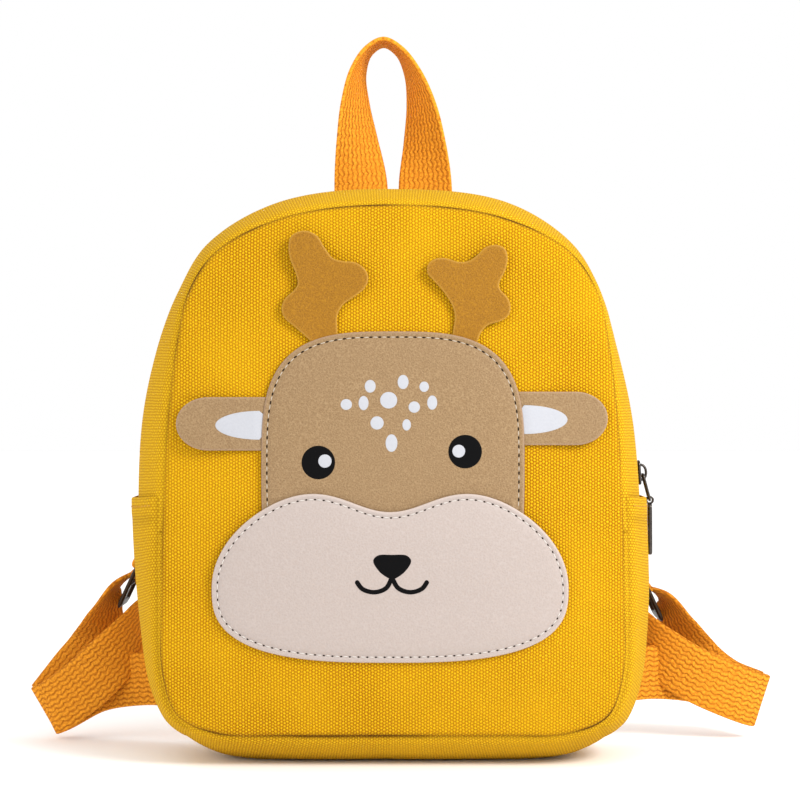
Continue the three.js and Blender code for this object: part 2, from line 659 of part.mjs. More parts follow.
// The face: outlines as formulas round a centre, and each patch cut clear of the one that lies over it
function superellipse(angle, power) {
  const bend = (value) => Math.sign(value) * Math.abs(value) ** (2 / power);
  return { across: bend(Math.cos(angle)), up: bend(Math.sin(angle)) };
}
function anglesRound(steps) {
  return spread(0, 2 * Math.PI, steps).slice(0, -1);
}
function headOutline(margin) {
  return anglesRound(FACE_STEPS.head).map((angle) => {
    const { across, up } = superellipse(angle, HEAD.power);
    const reach = up > 0 ? HEAD.top - HEAD.brow : HEAD.brow - HEAD.bottom;
    return { x: across * (HEAD.halfWidth + margin), z: HEAD.brow + up * (reach + margin) };
  });
}
function muzzleOutline(margin) {
  return anglesRound(FACE_STEPS.muzzle).map((angle) => {
    const half = angle < Math.PI ? MUZZLE_UPPER : MUZZLE_LOWER;
    const { across, up } = superellipse(angle, half.power);
    const x = across * (MUZZLE.halfWidth + margin);
    const dip = half === MUZZLE_UPPER ? MUZZLE.dip * Math.exp(-((x / MUZZLE.dipWidth) ** 2)) : 0;
    return { x: MUZZLE.centreX + x, z: MUZZLE.middle + up * (half.height + margin) - dip };
  });
}
function earOutline(sign, { tip, middle }) {
  const round = spread(-Math.PI / 2, Math.PI / 2, FACE_STEPS.ear).map((angle) => ({
    x: sign * (tip - EAR.tipLong + EAR.tipLong * Math.cos(angle)),
    z: middle + EAR.halfHeight * Math.sin(angle),
  }));
  const root = [1, -1].map((end) => ({ x: sign * EAR.root, z: middle + end * EAR.halfHeight }));
  return [...round, ...root];
}
function antlerOutline(side, sign) {
  const points = ANTLER_OUTLINES[side].map(([x, z]) => new THREE.Vector3(sign * x, 0, z));
  return new THREE.CatmullRomCurve3(points, true).getPoints(FACE_STEPS.antler).slice(0, -1);
}

// A cutter through the whole depth of the leather, from an outline.
function cutter(outline) {
  const shape = new THREE.Shape(outline.map((point) => new THREE.Vector2(point.x, point.z)));
  return solid(standAlong(plate(shape, CUTTER_DEPTH, 1)).translate(0, -HALF_DEPTH - FRONT_CROWN, 0));
}
function addFace(group) {
  const flat = () => 0;
  const headCutter = cutter(headOutline(GAP));
  const muzzleCutter = cutter(muzzleOutline(GAP));
  const head = patch(headOutline(0), { x: 0, z: HEAD.brow }, FACE_STEPS.patchRings, flat);
  const muzzle = patch(muzzleOutline(0), { x: MUZZLE.centreX, z: MUZZLE.middle }, FACE_STEPS.patchRings, flat);
  add(group, "head_patch", fromSolid(solid(head).subtract(muzzleCutter)), FINISHES.headLeather);
  add(group, "muzzle_patch", muzzle, FINISHES.muzzleLeather);
  for (const [side, sign] of [["left", -1], ["right", 1]]) {
    const { tip, middle } = EAR_PLACES[side];
    const earReach = (x) => Math.max(0, (Math.abs(x) - HEAD.halfWidth) / (tip - HEAD.halfWidth));
    const earLift = (x) => EAR.lift * earReach(x) ** 2;
    const earMiddle = { x: sign * (EAR.root + tip) / 2, z: middle };
    const ear = patch(earOutline(sign, EAR_PLACES[side]), earMiddle, FACE_STEPS.flapRings, earLift);
    const antlerReach = (x, z) => Math.hypot(Math.abs(x) - ANTLER.rootX, z - ANTLER.rootZ) / ANTLER.reach;
    const antlerLift = (x, z) => ANTLER.lift * antlerReach(x, z) ** ANTLER.liftPower;
    const antlerMiddle = { x: sign * ANTLER_CENTRES[side], z: ANTLER.centreZ };
    const antler = patch(antlerOutline(side, sign), antlerMiddle, FACE_STEPS.flapRings, antlerLift);
    add(group, `ear_${side}`, fromSolid(solid(ear).subtract(headCutter)), FINISHES.headLeather);
    add(group, `antler_${side}`, fromSolid(solid(antler).subtract(headCutter)), FINISHES.antlerLeather);
  }
}

addShell(backpack);
addPocket(backpack, "pocket_right", false);
addPocket(backpack, "pocket_left", true);
addZip(backpack);
addStraps(backpack);
addHandle(backpack);
addFace(backpack);

export default backpack;
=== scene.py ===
"""Looks of a small child's canvas backpack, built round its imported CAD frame.

Sizes in the classes are millimetres. Meshes are made in metres in the frame's own axes: +X to the viewer's
right, +Y towards the wearer's back and +Z up.
"""
import logging
import math
from dataclasses import dataclass, field
from enum import Enum
from functools import partial, reduce
from typing import Callable, Sequence

import bmesh
import bpy
import numpy as np
from bpy.types import ID, Material, Node, NodeSocket, NodeTree, Object
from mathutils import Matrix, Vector, noise
from mathutils.geometry import delaunay_2d_cdt


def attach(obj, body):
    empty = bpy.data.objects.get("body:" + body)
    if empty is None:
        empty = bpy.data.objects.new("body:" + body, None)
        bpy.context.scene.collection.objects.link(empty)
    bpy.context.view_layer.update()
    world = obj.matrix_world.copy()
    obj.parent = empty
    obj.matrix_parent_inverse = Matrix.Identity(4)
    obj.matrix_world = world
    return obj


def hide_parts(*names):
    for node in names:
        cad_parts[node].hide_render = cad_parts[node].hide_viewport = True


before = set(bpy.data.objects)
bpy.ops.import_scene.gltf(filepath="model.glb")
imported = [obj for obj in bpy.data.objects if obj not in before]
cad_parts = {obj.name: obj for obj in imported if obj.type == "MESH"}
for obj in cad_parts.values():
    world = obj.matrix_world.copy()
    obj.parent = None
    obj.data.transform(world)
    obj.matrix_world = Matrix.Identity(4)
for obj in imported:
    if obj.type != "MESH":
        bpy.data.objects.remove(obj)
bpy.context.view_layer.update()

Array = np.ndarray
Pair = tuple[float, float]
Triple = tuple[float, float, float]
Stand = Callable[[Array, Array], Array]
Placer = Callable[[Array, Array, Array], Array]
LOG = logging.getLogger("backpack")
MM = 0.001
BAG, PULL = "bag", "zip_pull"
# What the meshes call the cloth map, the mask of painted shade and pale cut edges, and the way outwards
MAP_NAME, SHADE_AND_CUT_EDGE_NAME, OUT_NAME = "cloth_map", "shade_and_cut_edge", "out"
BACKWARDS, FORWARDS = np.array([0.0, 1.0, 0.0]), np.array([0.0, -1.0, 0.0])
# A curve's shortest span, and the step over which its direction is read, in points passed
SHORTEST_SPAN, HEADING_STEP = 1e-4, 1e-3
# The least length that is divided by, and the distance that counts as none
LEAST_LENGTH, NO_DISTANCE = 1e-12, 1e-6
# An inset takes this share of an outline's room, which changes along the outline no faster than the slope
ROOM_SHARE, ROOM_SLOPE = 0.8, 0.6
# Points that fill a ring lie in rows of even triangles, and keep this share of a step clear of the ring
ROW_RISE, CLEAR_SHARE = math.sqrt(0.75), 0.6
# How far in a cut edge is dull
CUT_DULL = 0.7
# Turns of the points round a flat section's edge, in degrees, and the points round a printed spot
EDGE_TURNS, SPOT_POINTS = (55, 0, -55), 48


class Side(Enum):
    """The viewer's left or right side of the bag, as the sign of X."""

    LEFT = -1
    RIGHT = 1

    @property
    def label(self) -> str:
        """The side's word in the names of nodes and pieces."""
        return self.name.lower()


class Weave(Enum):
    """How the threads of a cloth show."""

    CANVAS = "staggered bumps"
    WEBBING = "wavy ribs"


class Edge(Enum):
    """What a cloth's edge is turned into: how deep it turns in, and over what width."""

    SEAM = (2.2, 2.6)
    FOLD = (0.9, 1.6)


class Seed(Enum):
    """What sets one pattern of waves apart from another."""

    PANEL_SLACK = 1.7
    PANEL_PUCKERS = 3.1
    BAND_SLACK = 8.2
    BAND_PUCKERS = 5.3
    SEAM_SHADE = 4.6


class Sewing(Enum):
    """What a line of stitches is sewn in."""

    HEAD = "head leather"
    MUZZLE = "muzzle leather"
    CANVAS = "canvas"
    WEBBING = "webbing"


# Small tools


def linear(colour: str) -> tuple[float, float, float, float]:
    """Turn an sRGB hex colour to linear RGBA.

    Args:
        colour: A hex colour such as "#eeb51f".

    Returns:
        The linear red, green, blue and alpha.
    """
    parts = [int(colour[start:start + 2], 16) / 255 for start in (1, 3, 5)]
    red, green, blue = (p / 12.92 if p <= 0.04045 else ((p + 0.055) / 1.055) ** 2.4 for p in parts)
    return red, green, blue, 1.0


def plug(tree: NodeTree, node: Node, inputs: dict) -> None:
    """Set a node's inputs.

    Args:
        tree: The node tree.
        node: The node.
        inputs: Values by input name or number. A node links its first output, a socket links itself.
    """
    for name, value in inputs.items():
        value = value.outputs[0] if isinstance(value, Node) else value
        if isinstance(value, NodeSocket):
            tree.links.new(value, node.inputs[name])
        else:
            node.inputs[name].default_value = value


def add_node(tree: NodeTree, kind: str, inputs: dict | None = None, **settings: object) -> Node:
    """Add a node with its settings, values and links.

    Args:
        tree: The node tree.
        kind: The node's type name.
        inputs: Values by input name or number, as plug takes them.
        settings: The node's own properties.

    Returns:
        The new node.
    """
    node = tree.nodes.new(kind)
    for name, value in settings.items():
        setattr(node, name, value)
    plug(tree, node, inputs or {})
    return node


def in_scene(name: str, data: ID) -> Object:
    """Make an object and link it to the scene.

    Args:
        name: The object's name.
        data: Its mesh, light or camera.

    Returns:
        The object.
    """
    made = bpy.data.objects.new(name, data)
    bpy.context.scene.collection.objects.link(made)
    return made


def unit(vectors: Array) -> Array:
    """Vectors of length one along the last axis."""
    return vectors / np.maximum(np.linalg.norm(vectors, axis=-1, keepdims=True), LEAST_LENGTH)


def lengths(points: Array) -> Array:
    """The distance along a line of points from its start."""
    return np.concatenate([[0.0], np.cumsum(np.linalg.norm(np.diff(points, axis=0), axis=1))])


def waves(places: Array, size: float, seed: float) -> Array:
    """Smooth uneven waves for cloth.

    Args:
        places: Places in millimetres, with two numbers in the last axis.
        size: The waves' usual size in millimetres.
        seed: A number that sets one pattern apart from another.

    Returns:
        Heights from about -1 to 1.
    """
    flat = places.reshape(-1, 2) / size
    found = [noise.noise(Vector((a + seed, b - seed, 0.0))) for a, b in flat]
    return np.array(found).reshape(places.shape[:-1])


@dataclass(frozen=True, eq=False)
class Spline:
    """A smooth centripetal curve through points. A place on it is told in points passed."""

    points: Array
    closed: bool = False

    def at(self, place: Array) -> Array:
        """Points of the curve.

        Args:
            place: Places in points passed.

        Returns:
            The points, with the coordinates in the last axis.
        """
        place = np.asarray(place, float)
        count = len(self.points)
        if self.closed:
            place = np.mod(place, count)
            start = np.floor(place).astype(int) % count
            a, b, c, d = (self.points[(start + step) % count] for step in (-1, 0, 1, 2))
        else:
            first, last = 2 * self.points[0] - self.points[1], 2 * self.points[-1] - self.points[-2]
            longer = np.vstack([first, self.points, last])
            start = np.clip(np.floor(place).astype(int), 0, count - 2)
            a, b, c, d = (longer[start + step] for step in range(4))
        t = (place - start)[..., None]
        spans = (np.linalg.norm(q - p, axis=-1, keepdims=True) for p, q in ((a, b), (b, c), (c, d)))
        ab, bc, cd = (span**0.5 for span in spans)
        bc = np.where(bc < SHORTEST_SPAN, 1.0, bc)
        ab, cd = (np.where(span < SHORTEST_SPAN, bc, span) for span in (ab, cd))
        leave = ((b - a) / ab - (c - a) / (ab + bc) + (c - b) / bc) * bc
        arrive = ((c - b) / bc - (d - b) / (bc + cd) + (d - c) / cd) * bc
        bend = 3 * (c - b) - 2 * leave - arrive
        twist = 2 * (b - c) + leave + arrive
        return b + leave * t + bend * t**2 + twist * t**3

    def heading(self, place: Array) -> Array:
        """The curve's direction at places in points passed."""
        place = np.asarray(place, float)
        return unit(self.at(place + HEADING_STEP) - self.at(place - HEADING_STEP))


@dataclass
class Surface:
    """Points in millimetres, faces, a cloth map in millimetres, and a mask of painted shade and pale cut
    edges of one shape.
    """

    points: Array
    faces: list[tuple[int, ...]]
    chart: Array
    shade_and_cut_edge: Array

    def joined(self, other: "Surface") -> "Surface":
        """This shape and another as one."""
        moved = [tuple(corner + len(self.points) for corner in face) for face in other.faces]
        return Surface(
            np.vstack([self.points, other.points]),
            self.faces + moved,
            np.vstack([self.chart, other.chart]),
            np.concatenate([self.shade_and_cut_edge, other.shade_and_cut_edge]),
        )

    def piece(self, name: str, finish: "Finish") -> Object:
        """Make the shape an object with its finish, its faces turned outwards.

        Args:
            name: The object's name.
            finish: What it is made of.

        Returns:
            The object, with its place in its mesh.
        """
        mesh = bpy.data.meshes.new(name)
        mesh.from_pydata((self.points * MM).tolist(), [], self.faces)
        shell = bmesh.new()
        shell.from_mesh(mesh)
        if shell.calc_volume(signed=True) < 0:
            bmesh.ops.reverse_faces(shell, faces=shell.faces)
        shell.to_mesh(mesh)
        shell.free()
        corners = np.zeros(len(mesh.loops), np.int32)
        mesh.loops.foreach_get("vertex_index", corners)
        chart = mesh.uv_layers.new(name=MAP_NAME)
        chart.uv.foreach_set("vector", self.chart[corners].astype(np.float32).ravel())
        shade_and_cut_edge = mesh.attributes.new(SHADE_AND_CUT_EDGE_NAME, "FLOAT", "POINT")
        shade_and_cut_edge.data.foreach_set("value", self.shade_and_cut_edge.astype(np.float32))
        mesh.shade_smooth()
        mesh.materials.append(finish.material())
        return in_scene(name, mesh)


def grid_faces(rows: int, columns: int, start: int, ring: bool, loop: bool = False) -> list[tuple[int, ...]]:
    """Quads between rows of points.

    Args:
        rows: The number of rows.
        columns: The number of points in a row.
        start: The number of the first point.
        ring: True where a row's last point joins its first.
        loop: True where the last row joins the first.

    Returns:
        The faces.
    """
    counts = (rows if loop else rows - 1, columns if ring else columns - 1)
    i, j = np.meshgrid(*(np.arange(count) for count in counts), indexing="ij")
    above, beside = (i + 1) % rows * columns, (j + 1) % columns
    quads = np.stack([i * columns + j, i * columns + beside, above + beside, above + j], -1)
    return [tuple(quad) for quad in (quads.reshape(-1, 4) + start).tolist()]


def tube(rings: Array, chart: Array, shade_and_cut_edge: Array | None = None, closed: bool = False) -> Surface:
    """A closed shape through rings of points, with its ends filled unless it closes on itself.

    Args:
        rings: Points by ring and by place in the ring.
        chart: The cloth map of the points.
        shade_and_cut_edge: The mask of painted shade and pale cut edges at the points.
        closed: True where the last ring joins the first.

    Returns:
        The shape.
    """
    count, size = rings.shape[:2]
    shade_and_cut_edge = np.zeros((count, size)) if shade_and_cut_edge is None else shade_and_cut_edge
    points, maps, flat_shade_and_cut_edge = rings.reshape(-1, 3), chart.reshape(-1, 2), shade_and_cut_edge.reshape(-1)
    faces = grid_faces(count, size, 0, True, closed)
    ends = () if closed else ((0, False), (count - 1, True))
    for ring, flip in ends:
        middle = len(points)
        points = np.vstack([points, rings[ring].mean(0)])
        maps = np.vstack([maps, chart[ring].mean(0)])
        flat_shade_and_cut_edge = np.append(flat_shade_and_cut_edge, shade_and_cut_edge[ring].mean())
        for j in range(size):
            pair = (ring * size + j, ring * size + (j + 1) % size)
            faces.append((middle, *(pair if flip else pair[::-1])))
    return Surface(points, faces, maps, flat_shade_and_cut_edge)


def wall(outer: Array, inner: Array, chart: Array, shade_and_cut_edge: Array) -> Surface:
    """A closed wall of cloth between an outer and an inner grid of points.

    Args:
        outer: Points of the outer side by row and column.
        inner: Points of the inner side.
        chart: The cloth map of both sides.
        shade_and_cut_edge: The painted shade of both sides.

    Returns:
        The shape.
    """
    rows, columns = outer.shape[:2]
    inside = rows * columns
    faces = grid_faces(rows, columns, 0, False)
    faces += [face[::-1] for face in grid_faces(rows, columns, inside, False)]
    number = np.arange(inside).reshape(rows, columns)
    for line in (number[::-1, 0], number[:, -1], number[0], number[-1, ::-1]):
        pairs = zip(line[:-1].tolist(), line[1:].tolist())
        faces += [(b, a, a + inside, b + inside) for a, b in pairs]
    both = np.concatenate([outer.reshape(-1, 3), inner.reshape(-1, 3)])
    return Surface(both, faces, np.tile(chart.reshape(-1, 2), (2, 1)), np.tile(shade_and_cut_edge.reshape(-1), 2))


def square_to(path: Array, across: Array, closed: bool = False) -> tuple[Array, Array]:
    """Directions square to a path.

    Args:
        path: Points of the path.
        across: About the direction across it at each point.
        closed: True where the path closes on itself.

    Returns:
        The directions across the path, and off it.
    """
    if closed:
        along = unit(np.roll(path, -1, 0) - np.roll(path, 1, 0))
    else:
        along = unit(np.gradient(path, axis=0))
    across = unit(across - along * (across * along).sum(-1, keepdims=True))
    return across, np.cross(along, across)


def sweep(path: Array, across: Array, section: Array, closed: bool = False,
          scale: Array | None = None) -> Surface:
    """A section carried along a path.

    Args:
        path: Points of the path.
        across: The direction of the section's first axis at each point.
        section: Points of the section round its middle.
        closed: True where the path closes on itself.
        scale: How much wider the section's first axis is at each point.

    Returns:
        The shape.
    """
    across, normal = square_to(path, across, closed)
    wide = np.ones(len(path)) if scale is None else scale
    a, b = section[:, 0], section[:, 1]
    rings = (path[:, None] + across[:, None] * (a[None, :] * wide[:, None])[..., None]
             + normal[:, None] * b[None, :, None])
    chart = np.stack(np.broadcast_arrays(a[None, :], lengths(path)[:, None]), -1)
    return tube(rings, chart, closed=closed)


def round_section(radius: float, sides: int = 10) -> Array:
    """A round wire's section."""
    angle = np.linspace(0, 2 * np.pi, sides, endpoint=False)
    return radius * np.stack([np.cos(angle), np.sin(angle)], -1)


def flat_section(wide: float, thick: float, columns: int) -> Array:
    """A flat section with round edges.

    Args:
        wide: The whole width.
        thick: The thickness.
        columns: The number of points on each flat side.

    Returns:
        The section's points.
    """
    flat = np.linspace(-1, 1, columns) * (wide - thick) / 2
    bend = np.radians(EDGE_TURNS)
    ends = np.stack([(wide - thick) / 2 + thick / 2 * np.cos(bend), thick / 2 * np.sin(bend)], -1)
    top = np.stack([flat, np.full(columns, thick / 2)], -1)
    return np.vstack([top, ends, -top, -ends])


def inset(outline: Array, distance: float) -> Array:
    """Move an anticlockwise outline inwards, no further than its own middle line.

    Args:
        outline: Points of a closed outline.
        distance: How far it moves.

    Returns:
        The moved points.
    """
    along = unit(np.roll(outline, -1, 0) - np.roll(outline, 1, 0))
    inward = np.stack([-along[:, 1], along[:, 0]], -1)
    apart = outline[None] - outline[:, None]
    facing = (apart * inward[:, None]).sum(-1)
    span = np.linalg.norm(apart, axis=-1)
    room = np.where(facing > NO_DISTANCE, span**2 / np.maximum(2 * facing, NO_DISTANCE), np.inf).min(1)
    room = (room[None] + ROOM_SLOPE * span).min(1)
    return outline + inward * np.minimum(distance, ROOM_SHARE * room)[:, None]


def kept_run(line: Array, kept: Array) -> Array:
    """Find the kept stretch of a closed line.

    Args:
        line: The line's points.
        kept: True for the points of the one stretch that is kept.

    Returns:
        The stretch's points, from where it starts.
    """
    first = next(i for i in range(len(line)) if kept[i] and not kept[i - 1])
    order = np.roll(np.arange(len(line)), -first)
    return line[order][kept[order]]


def filling(ring: Array, step: float) -> tuple[Array, list[tuple[int, ...]]]:
    """Triangles that fill a flat ring.

    Args:
        ring: Points of the closed ring.
        step: The distance between the points inside it.

    Returns:
        The points inside, and faces that count the ring's points first.
    """
    (x0, y0), (x1, y1) = ring.min(0), ring.max(0)
    x, y = np.meshgrid(np.arange(x0, x1, step), np.arange(y0, y1, step * ROW_RISE))
    x = x + (np.arange(len(x)) % 2)[:, None] * step / 2
    spots = np.stack([x.ravel(), y.ravel()], -1)[:, None]
    ends = np.roll(ring, -1, 0)
    passed = (ring[:, 1] > spots[..., 1]) != (ends[:, 1] > spots[..., 1])
    rise = np.where(ends[:, 1] == ring[:, 1], 1.0, ends[:, 1] - ring[:, 1])
    crossing = ring[:, 0] + (spots[..., 1] - ring[:, 1]) * (ends[:, 0] - ring[:, 0]) / rise
    inside = (passed & (spots[..., 0] < crossing)).sum(1) % 2 == 1
    clear = np.linalg.norm(spots - ring, axis=-1).min(1) > CLEAR_SHARE * step
    inner = spots[inside & clear, 0]
    places = [Vector(spot) for spot in np.vstack([ring, inner]).tolist()]
    found = delaunay_2d_cdt(places, [], [list(range(len(ring)))], 1, NO_DISTANCE)
    return inner, [tuple(found[3][corner][0] for corner in face) for face in found[2]]


def slab(outline: Array, rim: Sequence[Pair], step: float, place: Placer) -> Surface:
    """A flat piece from its outline, with a shaped rim.

    Args:
        outline: The outline's points in the piece's own plane.
        rim: Insets and heights from the lower edge over the rim to the upper side.
        step: The distance between the points that fill its upper side.
        place: Puts plane coordinates and heights where they belong on the bag.

    Returns:
        The shape.
    """
    following = np.roll(outline, -1, 0)
    if (outline[:, 0] * following[:, 1] - following[:, 0] * outline[:, 1]).sum() < 0:
        outline = outline[::-1]
    count, rings = len(outline), [inset(outline, distance) for distance, _ in rim]
    above, upper = filling(rings[-1], step)
    below, lower = filling(rings[0], 2 * step)
    flat = np.vstack([*rings, above, below])
    levels = [*(height for _, height in rim for _ in range(count)), *[rim[-1][1]] * len(above)]
    height = np.array([*levels, *[rim[0][1]] * len(below)])
    shade_and_cut_edge = np.zeros(len(flat))
    shade_and_cut_edge[:count * len(rim)] = np.repeat([max(0.0, 1 - distance / CUT_DULL) for distance, _ in rim], count)
    sides = count * len(rim)
    faces = grid_faces(len(rim), count, 0, True)
    faces += [tuple(c + sides - count for c in face) for face in upper]
    faces += [tuple(c if c < count else c + sides - count + len(above) for c in face[::-1]) for face in lower]
    return Surface(place(flat[:, 0], flat[:, 1], height), faces, flat, shade_and_cut_edge)


def rounded_rectangle(wide: float, tall: float, corner: float, steps: int) -> Array:
    """A rounded rectangle round the origin.

    Args:
        wide: The width.
        tall: The height.
        corner: The corners' radius.
        steps: The steps round a corner.

    Returns:
        The outline's points.
    """
    points = []
    for turn, (x, y) in enumerate(((1, 1), (-1, 1), (-1, -1), (1, -1))):
        for angle in np.radians(np.linspace(0, 90, steps + 1) + 90 * turn):
            points.append((x * (wide / 2 - corner) + corner * math.cos(angle),
                           y * (tall / 2 - corner) + corner * math.sin(angle)))
    return np.array(points)


def bent(value: Array, power: Array | float) -> Array:
    """A cosine or sine bent towards the corners, for rounded outlines of a given power."""
    return np.sign(value) * np.abs(value) ** (2 / power)


def spots(rows: Sequence[tuple[float, ...]]) -> list[Array]:
    """Draw round or oval outlines.

    Args:
        rows: For each outline its middle's two coordinates, then one or two radii.

    Returns:
        The outlines.
    """
    turn = np.linspace(0, 2 * np.pi, SPOT_POINTS, endpoint=False)
    circle = np.stack([np.cos(turn), np.sin(turn)], -1)
    return [np.array(row[:2]) + circle * row[2:] for row in rows]


def dress(piece: Object, body: str, slot: str, *nodes: str) -> Object:
    """Let a piece ride on its body and stand for CAD nodes.

    Args:
        piece: The finished piece.
        body: The CAD body it moves with.
        slot: The record's material slot; not used.
        nodes: The CAD nodes it stands for.

    Returns:
        The same piece.
    """
    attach(piece, body)
    if nodes:
        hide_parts(*nodes)
    LOG.info("%s: %d faces, on %s", piece.name, len(piece.data.polygons), body)
    return piece


# Finishes

# Noise of an uneven surface, which repeats in finer and weaker sizes
FINE_NOISE = {"Detail": 3.0, "Roughness": 0.6}


@dataclass(frozen=True)
class Finish:
    """What a piece is made of, named for the real material."""

    name: str
    roughness: float

    def paint(self, tree: NodeTree, shader: Node) -> None:
        """Add the material's own nodes."""
        raise NotImplementedError

    def material(self) -> Material:
        """Make the finish a material, once.

        Returns:
            The material.
        """
        found = bpy.data.materials.get(self.name)
        if found is None:
            found = bpy.data.materials.new(self.name)
            found.use_nodes = True
            shader = found.node_tree.nodes["Principled BSDF"]
            shader.inputs["Roughness"].default_value = self.roughness
            self.paint(found.node_tree, shader)
        return found


@dataclass(frozen=True)
class Cloth(Finish):
    """A woven cloth. Thick spun threads give the eye rows of soft bumps with dark gaps and no gloss; the
    gaps' dark is painted shade in the hollows between the threads.
    """

    # Colours of the gaps, painted shade between the threads, of the crests, of faded patches, and of the
    # painted shade along seams, folds and pocket edges
    gap: str
    crest: str
    faded: str
    seam: str
    weave: Weave
    across_mm: float
    along_mm: float
    relief_mm: float
    fullness: float
    sway_mm: float = 0.0
    # Shares of the ribs, the bumps on them and the ground between in canvas, and of the ties across webbing
    rib: float = 0.25
    bumps: float = 0.45
    ground: float = 0.3
    tie: float = 0.2
    # Sizes of the threads' wander, the yarn's thick places, faded patches and fuzz, and how far each shows
    wander_mm: float = 20 / 7
    wander: float = 0.6
    yarn_mm: float = 10 / 9
    yarn: Pair = (0.5, 1.15)
    patch_mm: float = 500 / 11
    fading: float = 0.35
    fuzz_mm: float = 0.4
    fuzz: float = 0.45
    # The stretches of the noise that thin and thicken the yarn, and that fade the patches
    yarn_noise: Pair = (0.25, 0.75)
    patch_noise: Pair = (0.35, 0.75)
    specular: float = 0.1
    bump: float = 0.9

    def sums(self) -> tuple[tuple, ...]:
        """List the sums that raise the threads.

        Returns:
            For each its name, its operation, and numbers or the names of earlier sums.
        """
        places = (
            ("across", "MULTIPLY", "x", math.pi / self.across_mm),
            ("along", "MULTIPLY", "y", 2 * math.pi / self.along_mm),
        )
        canvas = (
            ("columns", "COSINE", "across"),
            ("rows", "COSINE", "along"),
            ("both", "MULTIPLY", "columns", "rows"),
            ("twice", "MULTIPLY", "across", 2.0),
            ("ribs", "COSINE", "twice"),
            ("base", "MULTIPLY_ADD", "ribs", self.rib, self.ground),
            ("raised", "MULTIPLY_ADD", "both", self.bumps, "base"),
        )
        webbing = (
            ("half", "MULTIPLY", "along", 0.5),
            ("wave", "SINE", "half"),
            ("swing", "ABSOLUTE", "wave"),
            ("moved", "MULTIPLY_ADD", "swing", math.pi * self.sway_mm / self.across_mm, "across"),
            ("ribs", "COSINE", "moved"),
            ("whole", "ABSOLUTE", "ribs"),
            ("tied", "MULTIPLY", "swing", self.tie),
            ("raised", "MAXIMUM", "whole", "tied"),
        )
        threads = canvas if self.weave is Weave.CANVAS else webbing
        return *places, *threads, ("shaped", "POWER", "raised", self.fullness)

    def paint(self, tree: NodeTree, shader: Node) -> None:
        """Draw the threads on the cloth's own map, which is in millimetres.

        Args:
            tree: The material's node tree.
            shader: Its Principled shader.
        """
        chart = add_node(tree, "ShaderNodeUVMap", uv_map=MAP_NAME)
        wobble = add_node(tree, "ShaderNodeTexNoise",
                          {"Vector": chart, "Scale": 1 / self.wander_mm, "Detail": 1.0})
        shift = add_node(tree, "ShaderNodeVectorMath", {0: wobble.outputs["Color"], 1: (0.5, 0.5, 0.5)},
                         operation="SUBTRACT")
        sway = add_node(tree, "ShaderNodeVectorMath", {0: shift, "Scale": self.wander * self.across_mm},
                        operation="SCALE")
        place = add_node(tree, "ShaderNodeVectorMath", {0: chart, 1: sway}, operation="ADD")
        axes = add_node(tree, "ShaderNodeSeparateXYZ", {0: place}).outputs
        made = {"x": axes["X"], "y": axes["Y"]}
        for name, operation, *values in self.sums():
            inputs = {number: made.get(value, value) for number, value in enumerate(values)}
            made[name] = add_node(tree, "ShaderNodeMath", inputs, operation=operation,
                                  use_clamp=name == "raised")
        uneven = add_node(tree, "ShaderNodeTexNoise",
                          {"Vector": chart, "Scale": 1 / self.yarn_mm, "Detail": 1.0})
        spun = add_node(tree, "ShaderNodeMapRange", dict(enumerate((uneven, *self.yarn_noise, *self.yarn))))
        height = add_node(tree, "ShaderNodeMath", {0: made["shaped"], 1: spun}, operation="MULTIPLY",
                          use_clamp=True)
        object_place = add_node(tree, "ShaderNodeTexCoord").outputs["Object"]
        patches = add_node(tree, "ShaderNodeTexNoise",
                           {"Vector": object_place, "Scale": 1 / (self.patch_mm * MM), "Detail": 3.0})
        fades = (patches, *self.patch_noise, 0.0, self.fading)
        soft = add_node(tree, "ShaderNodeMapRange", dict(enumerate(fades)))
        # The mesh's mask darkens the cloth towards the seam colour: painted shade along seams and folds, and
        # at pocket edges and under hems
        shade_and_cut_edge = add_node(tree, "ShaderNodeAttribute", attribute_name=SHADE_AND_CUT_EDGE_NAME).outputs["Fac"]
        colour = linear(self.gap)
        for share, shade in ((height, self.crest), (soft, self.faded), (shade_and_cut_edge, self.seam)):
            mixed = add_node(tree, "ShaderNodeMix", {0: share, 6: colour, 7: linear(shade)}, data_type="RGBA")
            colour = mixed.outputs[2]
        fuzz = add_node(tree, "ShaderNodeTexNoise",
                        {"Vector": chart, "Scale": 1 / self.fuzz_mm, "Detail": 2.0, "Roughness": 0.6})
        relief = add_node(tree, "ShaderNodeMath", {0: fuzz, 1: self.fuzz, 2: height},
                          operation="MULTIPLY_ADD")
        bump = add_node(tree, "ShaderNodeBump",
                        {"Height": relief, "Distance": self.relief_mm * MM, "Strength": self.bump})
        plug(tree, shader, {"Base Color": colour, "Normal": bump, "Specular IOR Level": self.specular})


